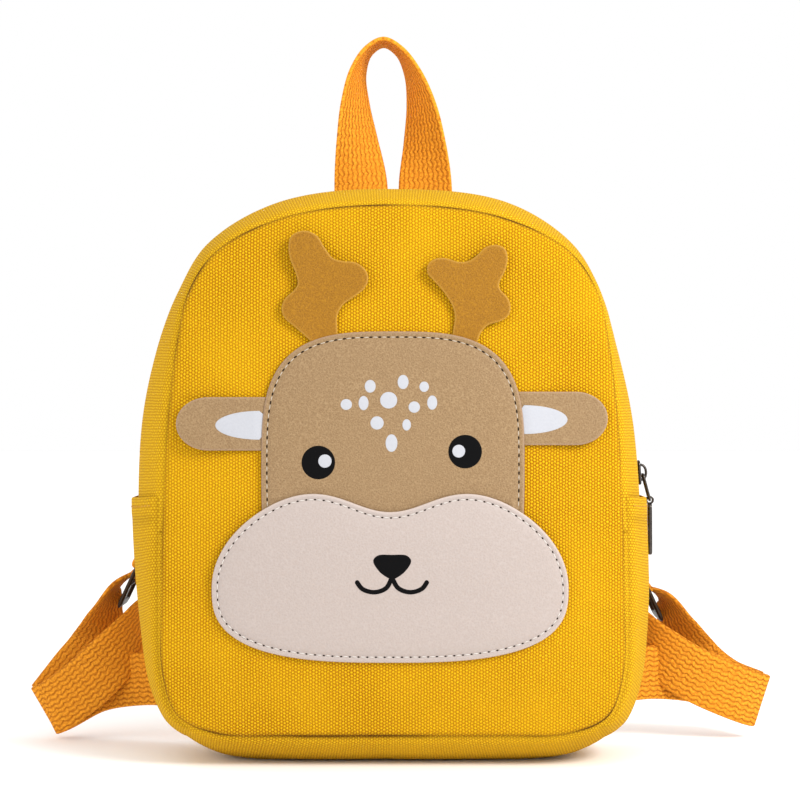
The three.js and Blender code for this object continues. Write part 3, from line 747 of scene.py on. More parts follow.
@dataclass(frozen=True)
class Leather(Finish):
    """Coated leather-look sheet. Embossed grain breaks up its soft satin gloss, and its cut edge is dull."""

    base: str
    shade: str
    cut: str
    grain_mm: float
    relief_mm: float
    mottle: float = 0.8
    finer: float = 1.1
    # The heights of the relief from the shade to the base colour
    shaded: Pair = (0.45, 1.25)
    gloss: Pair = (-0.06, 0.1)
    specular: float = 0.2
    bump: float = 0.8

    def paint(self, tree: NodeTree, shader: Node) -> None:
        """Emboss the grain by the object's own coordinates.

        Args:
            tree: The material's node tree.
            shader: Its Principled shader.
        """
        place = add_node(tree, "ShaderNodeTexCoord").outputs["Object"]
        scale = 1 / (self.grain_mm * MM)
        grain = add_node(tree, "ShaderNodeTexVoronoi", {"Vector": place, "Scale": scale}, feature="SMOOTH_F1")
        mottle = add_node(tree, "ShaderNodeTexNoise",
                          {"Vector": place, "Scale": self.finer * scale, **FINE_NOISE})
        relief = add_node(tree, "ShaderNodeMath", {0: mottle, 1: self.mottle, 2: grain.outputs["Distance"]},
                          operation="MULTIPLY_ADD")
        bump = add_node(tree, "ShaderNodeBump",
                        {"Height": relief, "Distance": self.relief_mm * MM, "Strength": self.bump})
        depth = add_node(tree, "ShaderNodeMapRange", dict(enumerate((relief, *self.shaded))))
        shade_and_cut_edge = add_node(tree, "ShaderNodeAttribute", attribute_name=SHADE_AND_CUT_EDGE_NAME).outputs["Fac"]
        colour = linear(self.shade)
        for share, shade in ((depth, self.base), (shade_and_cut_edge, self.cut)):
            mixed = add_node(tree, "ShaderNodeMix", {0: share, 6: colour, 7: linear(shade)}, data_type="RGBA")
            colour = mixed.outputs[2]
        bright, dull = (self.roughness + change for change in self.gloss)
        gloss = add_node(tree, "ShaderNodeMapRange", {0: mottle, 3: bright, 4: dull})
        plug(tree, shader, {"Base Color": colour, "Roughness": gloss, "Normal": bump,
                            "Specular IOR Level": self.specular})


@dataclass(frozen=True)
class Plated(Finish):
    """Plated die-cast zinc. Tumbled before plating, so it mirrors its surroundings in soft dark streaks."""

    base: str
    rubbed: str
    grit_mm: float
    relief_mm: float = 0.02
    gloss: Pair = (-0.08, 0.12)
    bump: float = 0.4

    def paint(self, tree: NodeTree, shader: Node) -> None:
        """Vary the plating's tone and gloss a little.

        Args:
            tree: The material's node tree.
            shader: Its Principled shader.
        """
        place = add_node(tree, "ShaderNodeTexCoord").outputs["Object"]
        grit = add_node(tree, "ShaderNodeTexNoise",
                        {"Vector": place, "Scale": 1 / (self.grit_mm * MM), **FINE_NOISE})
        tone = add_node(tree, "ShaderNodeMix", {0: grit, 6: linear(self.base), 7: linear(self.rubbed)},
                        data_type="RGBA")
        bright, dull = (self.roughness + change for change in self.gloss)
        gloss = add_node(tree, "ShaderNodeMapRange", {0: grit, 3: bright, 4: dull})
        bump = add_node(tree, "ShaderNodeBump",
                        {"Height": grit, "Distance": self.relief_mm * MM, "Strength": self.bump})
        plug(tree, shader, {"Base Color": tone.outputs[2], "Roughness": gloss, "Normal": bump,
                            "Metallic": 1.0})


@dataclass(frozen=True)
class Coloured(Finish):
    """Printed ink, spun thread or drawn nylon: one colour with a fine uneven surface."""

    base: str
    shade: str
    grain_mm: float
    relief_mm: float
    shine: float = 0.5
    bump: float = 0.7

    def paint(self, tree: NodeTree, shader: Node) -> None:
        """Mottle the colour finely.

        Args:
            tree: The material's node tree.
            shader: Its Principled shader.
        """
        place = add_node(tree, "ShaderNodeTexCoord").outputs["Object"]
        scale = 1 / (self.grain_mm * MM)
        grain = add_node(tree, "ShaderNodeTexNoise", {"Vector": place, "Scale": scale, **FINE_NOISE})
        tone = add_node(tree, "ShaderNodeMix", {0: grain, 6: linear(self.shade), 7: linear(self.base)},
                        data_type="RGBA")
        bump = add_node(tree, "ShaderNodeBump",
                        {"Height": grain, "Distance": self.relief_mm * MM, "Strength": self.bump})
        plug(tree, shader, {"Base Color": tone.outputs[2], "Normal": bump, "Specular IOR Level": self.shine})


# Thread sizes were measured in the photograph: canvas columns 1.25 mm apart with a bump each 1.43 mm, and
# webbing ribs 2.3 mm apart that sway each 4.4 mm
# Each cloth's first colour is painted shade in the gaps between threads, and its fourth is painted shade
# along seams, folds and pocket edges
CANVAS = Cloth("cotton_canvas_yellow", 0.92, "#935702", "#e7bb14", "#d8a612", "#3c1803", Weave.CANVAS,
               1.25, 1.43, 0.45, 0.65)
# The side strips and pockets are cut across the roll and pulled flat, so their ribs stand out less; their
# gaps are also painted lighter than the front's, painted light that brightens the sides and the base
SIDE_CANVAS = Cloth("cotton_canvas_yellow_cut_across", 0.92, "#a06c06", "#e6bb1f", "#d2a419", "#3c1803",
                    Weave.CANVAS, 1.25, 1.43, 0.3, 0.6)
WEBBING = Cloth("cotton_webbing_orange", 0.9, "#7a3006", "#f2a22d", "#e68e25", "#702c04", Weave.WEBBING,
                2.3, 4.4, 0.5, 0.55, 0.8)
ZIP_TAPE = Cloth("polyester_zip_tape_yellow", 0.8, "#946404", "#c99a18", "#bc8c14", "#6a4004", Weave.CANVAS,
                 0.9, 0.8, 0.12, 0.8)
ZIP_NYLON = Coloured("nylon_zip_coil_yellow", 0.45, "#bd8614", "#a4700c", 0.8, 0.02)
HEAD_LEATHER = Leather("coated_leather_tan", 0.5, "#967c5a", "#7c6142", "#9c816c", 0.65, 0.24)
ANTLER_LEATHER = Leather("coated_leather_ochre", 0.52, "#9a6a10", "#80540a", "#b08434", 0.65, 0.24)
MUZZLE_LEATHER = Leather("coated_leather_pale", 0.5, "#aa9e98", "#a2958e", "#bcaca3", 0.8, 0.1)
GUNMETAL = Plated("plated_zinc_gunmetal", 0.26, "#3c3836", "#5c5651", 1.6)
# The strap sliders' gunmetal plating painted darker and browner: painted shade, with a painted reflection of
# the orange webbing
SHADED_GUNMETAL = Plated("plated_zinc_gunmetal_painted_shade", 0.42, "#2b221d", "#41352d", 1.6)
BLACK_INK = Coloured("screen_ink_black", 0.6, "#050506", "#090809", 0.8, 0.03, 0.06)
WHITE_INK = Coloured("screen_ink_white", 0.5, "#aeafb4", "#a0a1a7", 0.8, 0.03)
LEATHER_THREAD = Coloured("polyester_thread_pale", 0.7, "#bdb0a0", "#a29482", 0.3, 0.06)
PALE_THREAD = Coloured("polyester_thread_white", 0.7, "#c8c1bb", "#b2aaa3", 0.3, 0.06)
HOLE_SHADE = Coloured("needle_hole_shade", 0.9, "#2c221a", "#1c1510", 0.5, 0.02, 0.1)
CANVAS_THREAD = Coloured("polyester_thread_yellow", 0.75, "#c68e14", "#a8700a", 0.3, 0.06)
WEBBING_THREAD = Coloured("polyester_thread_orange", 0.75, "#ca7820", "#a8540e", 0.3, 0.06)
FLOOR_PAINT = Coloured("matt_floor_paint", 0.9, "#fdfdfd", "#fafafa", 30.0, 0.01, 0.1)


# Lines of stitches and teeth

# The sides and rings of a bead, which repeats by the hundred
BEAD_SIDES, BEAD_RINGS = 8, 5


def bead_tree() -> NodeTree:
    """Geometry Nodes that set small beads along lines, such as stitches or zip teeth.

    Returns:
        The tree, with the inputs Line, Step, Size, Shift and Finish.
    """
    found = bpy.data.node_groups.get("beads_along_lines")
    if found is not None:
        return found
    tree = bpy.data.node_groups.new("beads_along_lines", "GeometryNodeTree")
    for name, kind in (("Line", "Geometry"), ("Step", "Float"), ("Size", "Vector"), ("Shift", "Vector"),
                       ("Finish", "Material")):
        tree.interface.new_socket(name=name, in_out="INPUT", socket_type=f"NodeSocket{kind}")
    tree.interface.new_socket(name="Beads", in_out="OUTPUT", socket_type="NodeSocketGeometry")
    given = tree.nodes.new("NodeGroupInput").outputs
    curve = add_node(tree, "GeometryNodeMeshToCurve", {"Mesh": given["Line"]})
    steps = add_node(tree, "GeometryNodeResampleCurve", {"Curve": curve, "Length": given["Step"]},
                     mode="LENGTH")
    tangent = add_node(tree, "GeometryNodeInputTangent")
    out = add_node(tree, "GeometryNodeInputNamedAttribute", {"Name": OUT_NAME}, data_type="FLOAT_VECTOR")
    along = add_node(tree, "FunctionNodeAlignRotationToVector", {"Vector": tangent}, axis="X")
    turned = add_node(tree, "FunctionNodeAlignRotationToVector", {"Rotation": along, "Vector": out}, axis="Z",
                      pivot_axis="X")
    ball = add_node(tree, "GeometryNodeMeshUVSphere",
                    {"Segments": BEAD_SIDES, "Rings": BEAD_RINGS, "Radius": 0.5})
    smooth = add_node(tree, "GeometryNodeSetShadeSmooth", {"Geometry": ball})
    bead = add_node(tree, "GeometryNodeTransform", {"Geometry": smooth, "Scale": given["Size"]})
    row = add_node(tree, "GeometryNodeInstanceOnPoints",
                   {"Points": steps, "Instance": bead, "Rotation": turned})
    moved = add_node(tree, "GeometryNodeTranslateInstances",
                     {"Instances": row, "Translation": given["Shift"]})
    real = add_node(tree, "GeometryNodeRealizeInstances", {"Geometry": moved})
    done = add_node(tree, "GeometryNodeSetMaterial", {"Geometry": real, "Material": given["Finish"]})
    add_node(tree, "NodeGroupOutput", {0: done})
    return tree


@dataclass
class LineWork:
    """Lines on the bag's surface in millimetres: points, the way outwards at each, and if they close."""

    lines: list[tuple[Array, Array, bool]] = field(default_factory=list)

    def add(self, points: Array, outs: Array, closed: bool = False) -> None:
        """Add one line."""
        self.lines.append((points, np.broadcast_to(outs, points.shape), closed))

    def beads(self, name: str, finish: Finish, step: float, size: Triple,
              shift: Triple = (0.0, 0.0, 0.0)) -> Object:
        """Set beads along all the lines.

        Args:
            name: The new object's name.
            finish: The beads' finish.
            step: The distance from bead to bead.
            size: A bead's size along the line, across it and outwards.
            shift: How far the beads are moved along the line, across it and outwards.

        Returns:
            One plain mesh object of all the beads.
        """
        edges, start = [], 0
        for points, _, closed in self.lines:
            count = len(points)
            edges += [(start + i, start + i + 1) for i in range(count - 1)]
            edges += [(start + count - 1, start)] if closed else []
            start += count
        points, outs = (np.vstack([line[part] for line in self.lines]) for part in (0, 1))
        mesh = bpy.data.meshes.new(name + "_line")
        mesh.from_pydata((points * MM).tolist(), edges, [])
        ways = mesh.attributes.new(OUT_NAME, "FLOAT_VECTOR", "POINT")
        ways.data.foreach_set("vector", outs.astype(np.float32).ravel())
        line = in_scene(name + "_line", mesh)
        modifier = line.modifiers.new("beads", "NODES")
        tree = bead_tree()
        values = {"Step": step * MM, "Size": [v * MM for v in size], "Shift": [v * MM for v in shift],
                  "Finish": finish.material()}
        modifier.node_group = tree
        for item in tree.interface.items_tree:
            if item.name in values:
                modifier[item.identifier] = values[item.name]
        graph = bpy.context.evaluated_depsgraph_get()
        made = bpy.data.meshes.new_from_object(line.evaluated_get(graph))
        made.name = name
        line.modifiers.remove(modifier)
        bpy.data.objects.remove(line)
        return in_scene(name, made)


# Stitches and needle holes: name, sewing, finish, slot and step, then size and shift along the line, across
# it and outwards. Holes lie half a step from the stitches.
STITCHES = (
    ("head_stitches", Sewing.HEAD, LEATHER_THREAD, "head_leather", 3.7, (2.3, 0.52, 0.5)),
    ("head_stitch_holes", Sewing.HEAD, HOLE_SHADE, "head_leather", 3.7, (1.6, 0.78, 0.35), (1.85, 0.0, 0.0)),
    ("muzzle_stitches", Sewing.MUZZLE, PALE_THREAD, "muzzle_leather", 3.7, (2.5, 0.66, 0.6)),
    ("muzzle_stitch_holes", Sewing.MUZZLE, HOLE_SHADE, "muzzle_leather", 3.7, (1.05, 0.75, 0.35),
     (1.85, 0.0, 0.0)),
    ("canvas_stitches", Sewing.CANVAS, CANVAS_THREAD, "canvas", 3.0, (2.4, 0.6, 0.4)),
    ("webbing_stitches", Sewing.WEBBING, WEBBING_THREAD, "webbing", 2.6, (2.1, 0.7, 0.5)),
)


# Body

# Distance out from the middle and height of the seam, then left, right and height of the bulge, base to top
OUTLINE = (
    (0, 13.5, 0, 0, -2),
    (45, 13.5, 50, 50, -1.5),
    (75, 14.5, 78, 80.5, 2.5),
    (92, 22, 95.4, 98.5, 14),
    (98.5, 40, 104.2, 106.2, 30),
    (99, 70, 109.8, 110, 64),
    (98, 114, 112.3, 108.6, 112),
    (96, 150, 110.5, 105.2, 150),
    (92.4, 181, 103.4, 97.9, 182),
    (87.5, 203, 94.3, 90.7, 205),
    (75, 221, 81.4, 78.4, 226),
    (45, 235.5, 50, 50, 244.2),
    (0, 240.5, 0, 0, 250),
)
ALL_ROWS = 2 * (len(OUTLINE) - 1)
# Distances from an edge at which the cloth's points lie, closer where it turns in
EDGE_STEPS = np.array([0, 0.3, 0.7, 1.2, 1.8, 2.6, 3.6, 5.0, 7.0, 10.0])


@dataclass
class BodyShape:
    """The stuffed body's outline and swelling, as the CAD has them."""

    half_depth: float = 40.0
    front_crown: float = 7.0
    back_crown: float = 3.0
    crown_power: float = 3.0
    bulge_power: float = 2.4
    middle_z: float = 120.0
    run_steps: int = 40
    rim_steps: int = 1440
    seam: Spline = field(init=False)
    bulge: Spline = field(init=False)
    run: Array = field(init=False)
    angles: Array = field(init=False)
    radii: Array = field(init=False)

    def __post_init__(self) -> None:
        """Work out the outline's curves and the seam's distance from the panel's middle."""
        out, up, left, right, high = np.array(OUTLINE, float).T
        inner = slice(-2, 0, -1)
        self.seam, self.bulge = (
            Spline(np.vstack([np.stack([far, z], -1), np.stack([-near, z], -1)[inner]]), True)
            for near, far, z in ((out, out, up), (left, right, high)))
        fine = np.linspace(-ALL_ROWS, 2 * ALL_ROWS, 3 * self.run_steps * ALL_ROWS + 1)
        self.run = np.stack([fine, lengths(self.bulge.at(fine))])
        rim = self.seam.at(np.linspace(0, ALL_ROWS, self.rim_steps, endpoint=False)) - (0, self.middle_z)
        angle = np.arctan2(rim[:, 1], rim[:, 0])
        order = np.argsort(angle)
        self.angles, self.radii = angle[order], np.linalg.norm(rim, axis=1)[order]

    def along(self, rows: Array) -> Array:
        """The distance along the bulge line, in millimetres, of rows of the outline."""
        return np.interp(rows, *self.run)

    def point(self, rows: Array, depths: Array, outward: Array) -> Array:
        """Points of the stuffed sides.

        Args:
            rows: Rows of the outline, from the base's middle up the right side.
            depths: Distances back from the body's middle.
            outward: How far the points stand off the sides.

        Returns:
            The points, none below the floor.
        """
        rows, depths, outward = np.broadcast_arrays(rows, depths, outward)
        full = (1 - np.minimum(1, np.abs(depths / self.half_depth)) ** self.bulge_power)[..., None]
        spot = self.seam.at(rows) * (1 - full) + self.bulge.at(rows) * full
        way = unit(self.seam.heading(rows) * (1 - full) + self.bulge.heading(rows) * full)
        x = spot[..., 0] + way[..., 1] * outward
        z = np.maximum(np.maximum(0, -outward), spot[..., 1] - way[..., 0] * outward)
        return np.stack([x, depths, z], -1)

    def line(self, rows: Array, depths: Array, outward: Array) -> tuple[Array, Array]:
        """The points of a line that stands off the stuffed sides, and the way outwards at each."""
        line = self.point(rows, depths, outward)
        return line, self.point(rows, depths, outward + 1) - line

    def chart(self, rows: Array, points: Array) -> Array:
        """The cloth map of a band: distances round the bag, and across the band from its middle.

        Args:
            rows: Rows of the outline at the points.
            points: The band's outer points by row and by depth.

        Returns:
            The map in millimetres.
        """
        steps = np.linalg.norm(np.diff(points, axis=1), axis=-1).mean(0)
        across = np.concatenate([[0.0], np.cumsum(steps)])
        return np.stack(np.broadcast_arrays(self.along(rows), across - across[-1] / 2), -1)

    def crown(self, share: Array, most: float) -> Array:
        """How far a stuffed panel stands out beyond its seam, from the share of the way to the seam."""
        return most * (1 - np.minimum(1, share) ** self.crown_power)

    def front(self, x: Array, z: Array) -> Array:
        """Find the front panel's face.

        Args:
            x: Places along X.
            z: Heights.

        Returns:
            The panel's Y at those places.
        """
        rise = np.asarray(z) - self.middle_z
        reach = np.interp(np.arctan2(rise, x), self.angles, self.radii, period=2 * np.pi)
        return -self.half_depth - self.crown(np.hypot(x, rise) / reach, self.front_crown)


@dataclass
class Shell:
    """The canvas shell: front and back panels and the bands between them."""

    shape: BodyShape
    sewing: dict[Sewing, LineWork]
    canvas: float = 1.6
    gap: float = 0.3
    rays: int = 336
    fill: int = 18
    band_rows: int = 300
    band_fill: int = 9
    join_row: float = 5.7
    join_gap: float = 0.01
    zip_depth: float = 6.0
    zip_open: float = 9.4
    # Slack cloth rises this far in waves of this size, from this far off its seam
    slack: float = 0.45
    slack_size: float = 42.0
    panel_calm: float = 15.0
    band_calm: float = 10.0
    # Puckers rise this far in waves of this size, start beside the seam and die out over their reach
    pucker: float = 0.75
    pucker_size: float = 6.5
    pucker_start: float = 2.0
    panel_reach: float = 9.0
    band_reach: float = 7.0
    seams_apart: float = 20.0
    # The seam's painted shade, as of a shadowed crease: how far up and down from the middle of the sides it
    # stays faintest, the rise over which it grows towards the top and base, its faintest share, the size,
    # mean and least of its stretches along the seam, and its widths on the panels and bands
    faint_half: float = 55.0
    shade_rise: float = 40.0
    faint_shade: float = 0.4
    shade_run: float = 19.0
    shade_mean: float = 0.72
    shade_least: float = 0.4
    panel_shade: float = 0.8
    band_shade: float = 0.5
    # Painted shade beside the zip bands' folded edges: its depth and its width
    fold_dark: float = 0.5
    fold_shade: float = 0.8
    stitch_inset: float = 2.4
    stitch_proud: float = 0.1

    @property
    def band_edge(self) -> float:
        """The depth at which the bands meet the front and back panels."""
        return self.shape.half_depth - self.canvas - self.gap

    def turned_in(self, distance: Array, edge: Edge) -> Array:
        """How deep cloth lies at a distance from an edge that is turned in."""
        deep, wide = edge.value
        return deep * np.clip(1 - distance / wide, 0, 1) ** 2

    def seam_shade(self, distance: Array, height: Array, run: Array, wide: float) -> Array:
        """How much painted shade darkens cloth near a panel's seam, in stretches along it, most towards its
        top and base corners.

        Args:
            distance: The distances from the seam.
            height: The heights of the seam or the cloth.
            run: The distances along the seam.
            wide: The width of the shade.

        Returns:
            The shade, from 0 to 1.
        """
        toward_ends = np.clip((np.abs(height - self.shape.middle_z) - self.faint_half) / self.shade_rise, 0, 1)
        uneven = waves(run[..., None] * (1.0, 0.0), self.shade_run, Seed.SEAM_SHADE.value)
        stretches = np.clip(self.shade_mean + uneven, self.shade_least, 1)
        shade = np.exp(-((distance / wide) ** 2))
        return shade * (self.faint_shade + (1 - self.faint_shade) * toward_ends) * stretches

    def unevenness(self, distance: Array, slack: Array, puckers: Array, calm: float, reach: float) -> Array:
        """How far cloth stands off its plain shape, with its seam turned in, its slack and its puckers.

        Args:
            distance: The distances from the seam.
            slack: The waves of the slack.
            puckers: The waves of the puckers along the seam.
            calm: How far from the seam the slack starts.
            reach: How far from the seam the puckers reach.

        Returns:
            The distances off the plain shape.
        """
        loose = slack * self.slack * (1 - np.exp(-distance / calm))
        gathers = puckers * self.pucker * np.exp(-distance / reach)
        gathers *= 1 - np.exp(-distance / self.pucker_start)
        return loose + gathers - self.turned_in(distance, Edge.SEAM)

    def panel(self, name: str, node: str, way: float, crown: float) -> None:
        """Make the front or back panel.

        Args:
            name: The piece's name.
            node: The CAD node it stands for.
            way: -1 for the front and 1 for the back.
            crown: How far its middle stands out.
        """
        rows = np.linspace(0, ALL_ROWS, self.rays, endpoint=False)
        run = self.shape.along(rows)
        middle = np.array([0.0, self.shape.middle_z])
        spokes = self.shape.seam.at(rows) - middle
        reach = np.linalg.norm(spokes, axis=1)
        rest = np.linspace(0, 1, self.fill + 1)[1:-1]
        near = np.repeat(EDGE_STEPS[:, None], self.rays, 1)
        distance = np.vstack([near, EDGE_STEPS[-1] + np.outer(rest, reach - EDGE_STEPS[-1])])
        share = 1 - distance / reach
        flat = middle + spokes * share[..., None]
        slack = waves(flat, self.slack_size, Seed.PANEL_SLACK.value + way)
        puckers = waves(run[:, None] * (1.0, 0.0), self.pucker_size, Seed.PANEL_PUCKERS.value + way)
        height = (self.shape.half_depth + self.shape.crown(share, crown)
                  + self.unevenness(distance, slack, puckers, self.panel_calm, self.panel_reach))
        outer = np.stack([flat[..., 0], way * height, flat[..., 1]], -1)
        inner = outer - (0, way * self.canvas, 0)
        dark = self.seam_shade(distance, flat[:1, :, 1], run, self.panel_shade)
        rings, chart, shade_and_cut_edge = (np.concatenate([inside[::-1], outside])
                              for inside, outside in ((inner, outer), (flat, flat), (dark, dark)))
        panel = dress(tube(rings, chart, shade_and_cut_edge).piece(name, CANVAS), BAG, "canvas", node)

    def from_seam(self, depths: Array) -> Array:
        """The distance of the bands' cloth from the nearer panel's seam."""
        return np.maximum(0, self.band_edge - np.abs(depths))

    def outward(self, rows: Array, depths: Array) -> Array:
        """How far the bands' cloth stands off the plain sides, with its seams turned in and its slack.

        Args:
            rows: Rows of the outline.
            depths: Distances back from the body's middle.

        Returns:
            The distances off the sides.
        """
        rows, depths = np.broadcast_arrays(rows, depths)
        run = self.shape.along(np.mod(rows, ALL_ROWS))
        slack = waves(np.stack([run, depths], -1), self.slack_size, Seed.BAND_SLACK.value)
        seams = np.stack([run, np.sign(depths) * self.seams_apart], -1)
        puckers = waves(seams, self.pucker_size, Seed.BAND_PUCKERS.value)
        return self.unevenness(self.from_seam(depths), slack, puckers, self.band_calm, self.band_reach)

    def depths(self, start: float, end: float) -> Array:
        """Space points across a band, closer together at its edges.

        Args:
            start: The depth of its front edge.
            end: The depth of its back edge.

        Returns:
            The points' depths.
        """
        steps = EDGE_STEPS[EDGE_STEPS < (end - start) / 3]
        inner = np.linspace(start + steps[-1], end - steps[-1], self.band_fill)[1:-1]
        return np.concatenate([start + steps, inner, (end - steps)[::-1]])

    def side_sheet(self, piece: Object, chart: Array, rests_on: Sequence[str] = ()) -> None:
        """Take a side's cloth, its map and the pieces that it lies on, and do nothing with them."""

    def band(self, name: str, node: str, rows: Array, start: float, end: float) -> None:
        """Make one band round the sides.

        Args:
            name: The piece's name.
            node: The CAD node it stands for.
            rows: Rows of the outline that it runs along.
            start: The depth of its front edge.
            end: The depth of its back edge.
        """
        rows, depths = np.meshgrid(rows, self.depths(start, end), indexing="ij")
        outward = self.outward(rows, depths)
        height = self.shape.point(rows, depths, outward)[..., 2]
        run = self.shape.along(np.mod(rows, ALL_ROWS))
        dark = self.seam_shade(self.from_seam(depths), height, run, self.band_shade)
        # A folded edge turns in and gets painted shade beside it
        for at in (start, end):
            if abs(at) < self.band_edge:
                from_fold = np.abs(depths - at)
                outward = outward - self.turned_in(from_fold, Edge.FOLD)
                dark = dark + self.fold_dark * np.exp(-from_fold / self.fold_shade)
        outer = self.shape.point(rows, depths, outward)
        inner = self.shape.point(rows, depths, outward - self.canvas)
        chart = self.shape.chart(rows, outer)
        cloth = wall(outer, inner, chart, np.minimum(1, dark)).piece(name, SIDE_CANVAS)
        self.side_sheet(dress(cloth, BAG, "canvas", node), chart)

    @property
    def zip_rows(self) -> Array:
        """Rows of the outline along the zip and its bands."""
        start = self.join_row + self.join_gap
        return np.linspace(start, ALL_ROWS - start, self.band_rows)

    def build(self) -> None:
        """Make the panels and bands, and lay the stitches beside the zip."""
        self.panel("front_panel_canvas", "front_panel", -1.0, self.shape.front_crown)
        self.panel("back_panel_canvas", "back_panel", 1.0, self.shape.back_crown)
        half_open = self.zip_open / 2
        front, rear = self.zip_depth - half_open - self.gap, self.zip_depth + half_open + self.gap
        self.band("zip_band_front_canvas", "zip_band_front", self.zip_rows, -self.band_edge, front)
        self.band("zip_band_rear_canvas", "zip_band_rear", self.zip_rows, rear, self.band_edge)
        base_rows = np.linspace(-self.join_row, self.join_row, self.band_rows)
        self.band("base_band_canvas", "base_band", base_rows, -self.band_edge, self.band_edge)
        for depth in (front - self.stitch_inset, rear + self.stitch_inset):
            off = self.outward(self.zip_rows, depth) + self.stitch_proud
            self.sewing[Sewing.CANVAS].add(*self.shape.line(self.zip_rows, depth, off))


@dataclass
class Pockets:
    """The slip pockets on both sides, each with a hemmed mouth."""

    shell: Shell
    mouth_row: float = 6.06
    end_row: float = 2.45
    half_depth: float = 37.4
    fill: int = 40
    cloth: float = 1.4
    slack: float = 1.2
    # The mouth's hem, with the step at its lower edge and the rounding of its lip
    hem: float = 7.0
    hem_proud: float = 0.25
    hem_step: float = 0.8
    lip_least: float = 0.25
    lip_round: float = 0.9
    # Distances over which the cloth comes down to the bag, and how far it is tucked in there
    side_taper: float = 3.0
    end_taper: float = 26.0
    tuck: float = 0.6
    # Depths and widths of the shade at the sides and under the hem
    edge_dark: float = 0.8
    edge_shade: float = 0.6
    hem_dark: float = 0.15
    hem_shade: float = 0.5
    hem_stitch: float = 3.2
    stitch_margin: float = 3.0
    stitch_points: int = 60
    stitch_sunk: float = 0.05

    def build(self) -> None:
        """Make both pockets and lay the stitches of their hems."""
        for side in Side:
            ends = side.value * np.array([self.end_row, self.mouth_row])
            span = float(np.ptp(self.shell.shape.along(ends)))
            self.pocket(f"pocket_{side.label}", ends, span)
            self.sew_hem(ends, span)

    def pocket(self, name: str, ends: Array, span: float) -> None:
        """Make one pocket.

        Args:
            name: The CAD node it stands for.
            ends: The outline's rows at its lower end and its mouth.
            span: The distance between them.
        """
        shape, shell, last = self.shell.shape, self.shell, EDGE_STEPS[-1]
        steps = np.concatenate([np.linspace(0, span - last, self.fill)[:-1], span - EDGE_STEPS[::-1]])
        run, depth = np.meshgrid(steps, shell.depths(-self.half_depth, self.half_depth), indexing="ij")
        row = ends[0] + (ends[1] - ends[0]) * run / span
        below, from_side = span - run, self.half_depth - np.abs(depth)
        free = np.clip(np.minimum(run / self.end_taper, from_side / self.side_taper), 0, 1)
        lip = np.sqrt(np.clip(1 - (1 - np.minimum(1, below / self.lip_round)) ** 2, 0, 1))
        lip = self.lip_least + (1 - self.lip_least) * lip
        hem = self.hem_proud * np.clip((self.hem - below) / self.hem_step, 0, 1)
        loose = shell.gap + self.slack * run / span * (1 - (depth / self.half_depth) ** 2)
        sunk = shell.outward(row, depth) - self.cloth * (1 - free) ** 2
        outer = shape.point(row, depth, sunk + (loose + (self.cloth + hem) * lip) * np.sqrt(free))
        inner = shape.point(row, depth, sunk + loose * free - self.tuck * self.cloth * (1 - free))
        chart = shape.chart(row, outer)
        dark = np.maximum(self.edge_dark * np.exp(-from_side / self.edge_shade),
                          self.hem_dark * np.exp(-((below - self.hem) / self.hem_shade) ** 2))
        cloth = wall(outer, inner, chart, dark).piece(name + "_canvas", SIDE_CANVAS)
        shell.side_sheet(dress(cloth, BAG, "canvas", name), chart, ["base_band_canvas"])

    def sew_hem(self, ends: Array, span: float) -> None:
        """Lay the stitches of one pocket's hem.

        Args:
            ends: The outline's rows at the pocket's lower end and its mouth.
            span: The distance between them.
        """
        at = ends[1] - (ends[1] - ends[0]) * self.hem_stitch / span
        reach = self.half_depth - self.stitch_margin
        fine = np.linspace(-reach, reach, self.stitch_points)
        loose = self.shell.gap + self.slack * (1 - (fine / self.half_depth) ** 2)
        over = self.cloth + self.hem_proud - self.stitch_sunk
        off = self.shell.outward(np.full_like(fine, at), fine) + loose + over
        self.shell.sewing[Sewing.CANVAS].add(*self.shell.shape.line(at, fine, off))


# Zip

# Rims of the slider's plate and the pull's tab: insets and heights from the lower edge to the upper side
PLATE_RIM = ((0.5, 0.0), (0.15, 0.12), (0.0, 0.4), (0.0, 0.75), (0.2, 1.05), (0.6, 1.2), (1.6, 1.32))
TAB_RIM = ((0.45, 0.0), (0.12, 0.15), (0.0, 0.45), (0.0, 1.35), (0.12, 1.65), (0.45, 1.8), (1.3, 1.8),
           (1.7, 1.5), (2.2, 1.45))


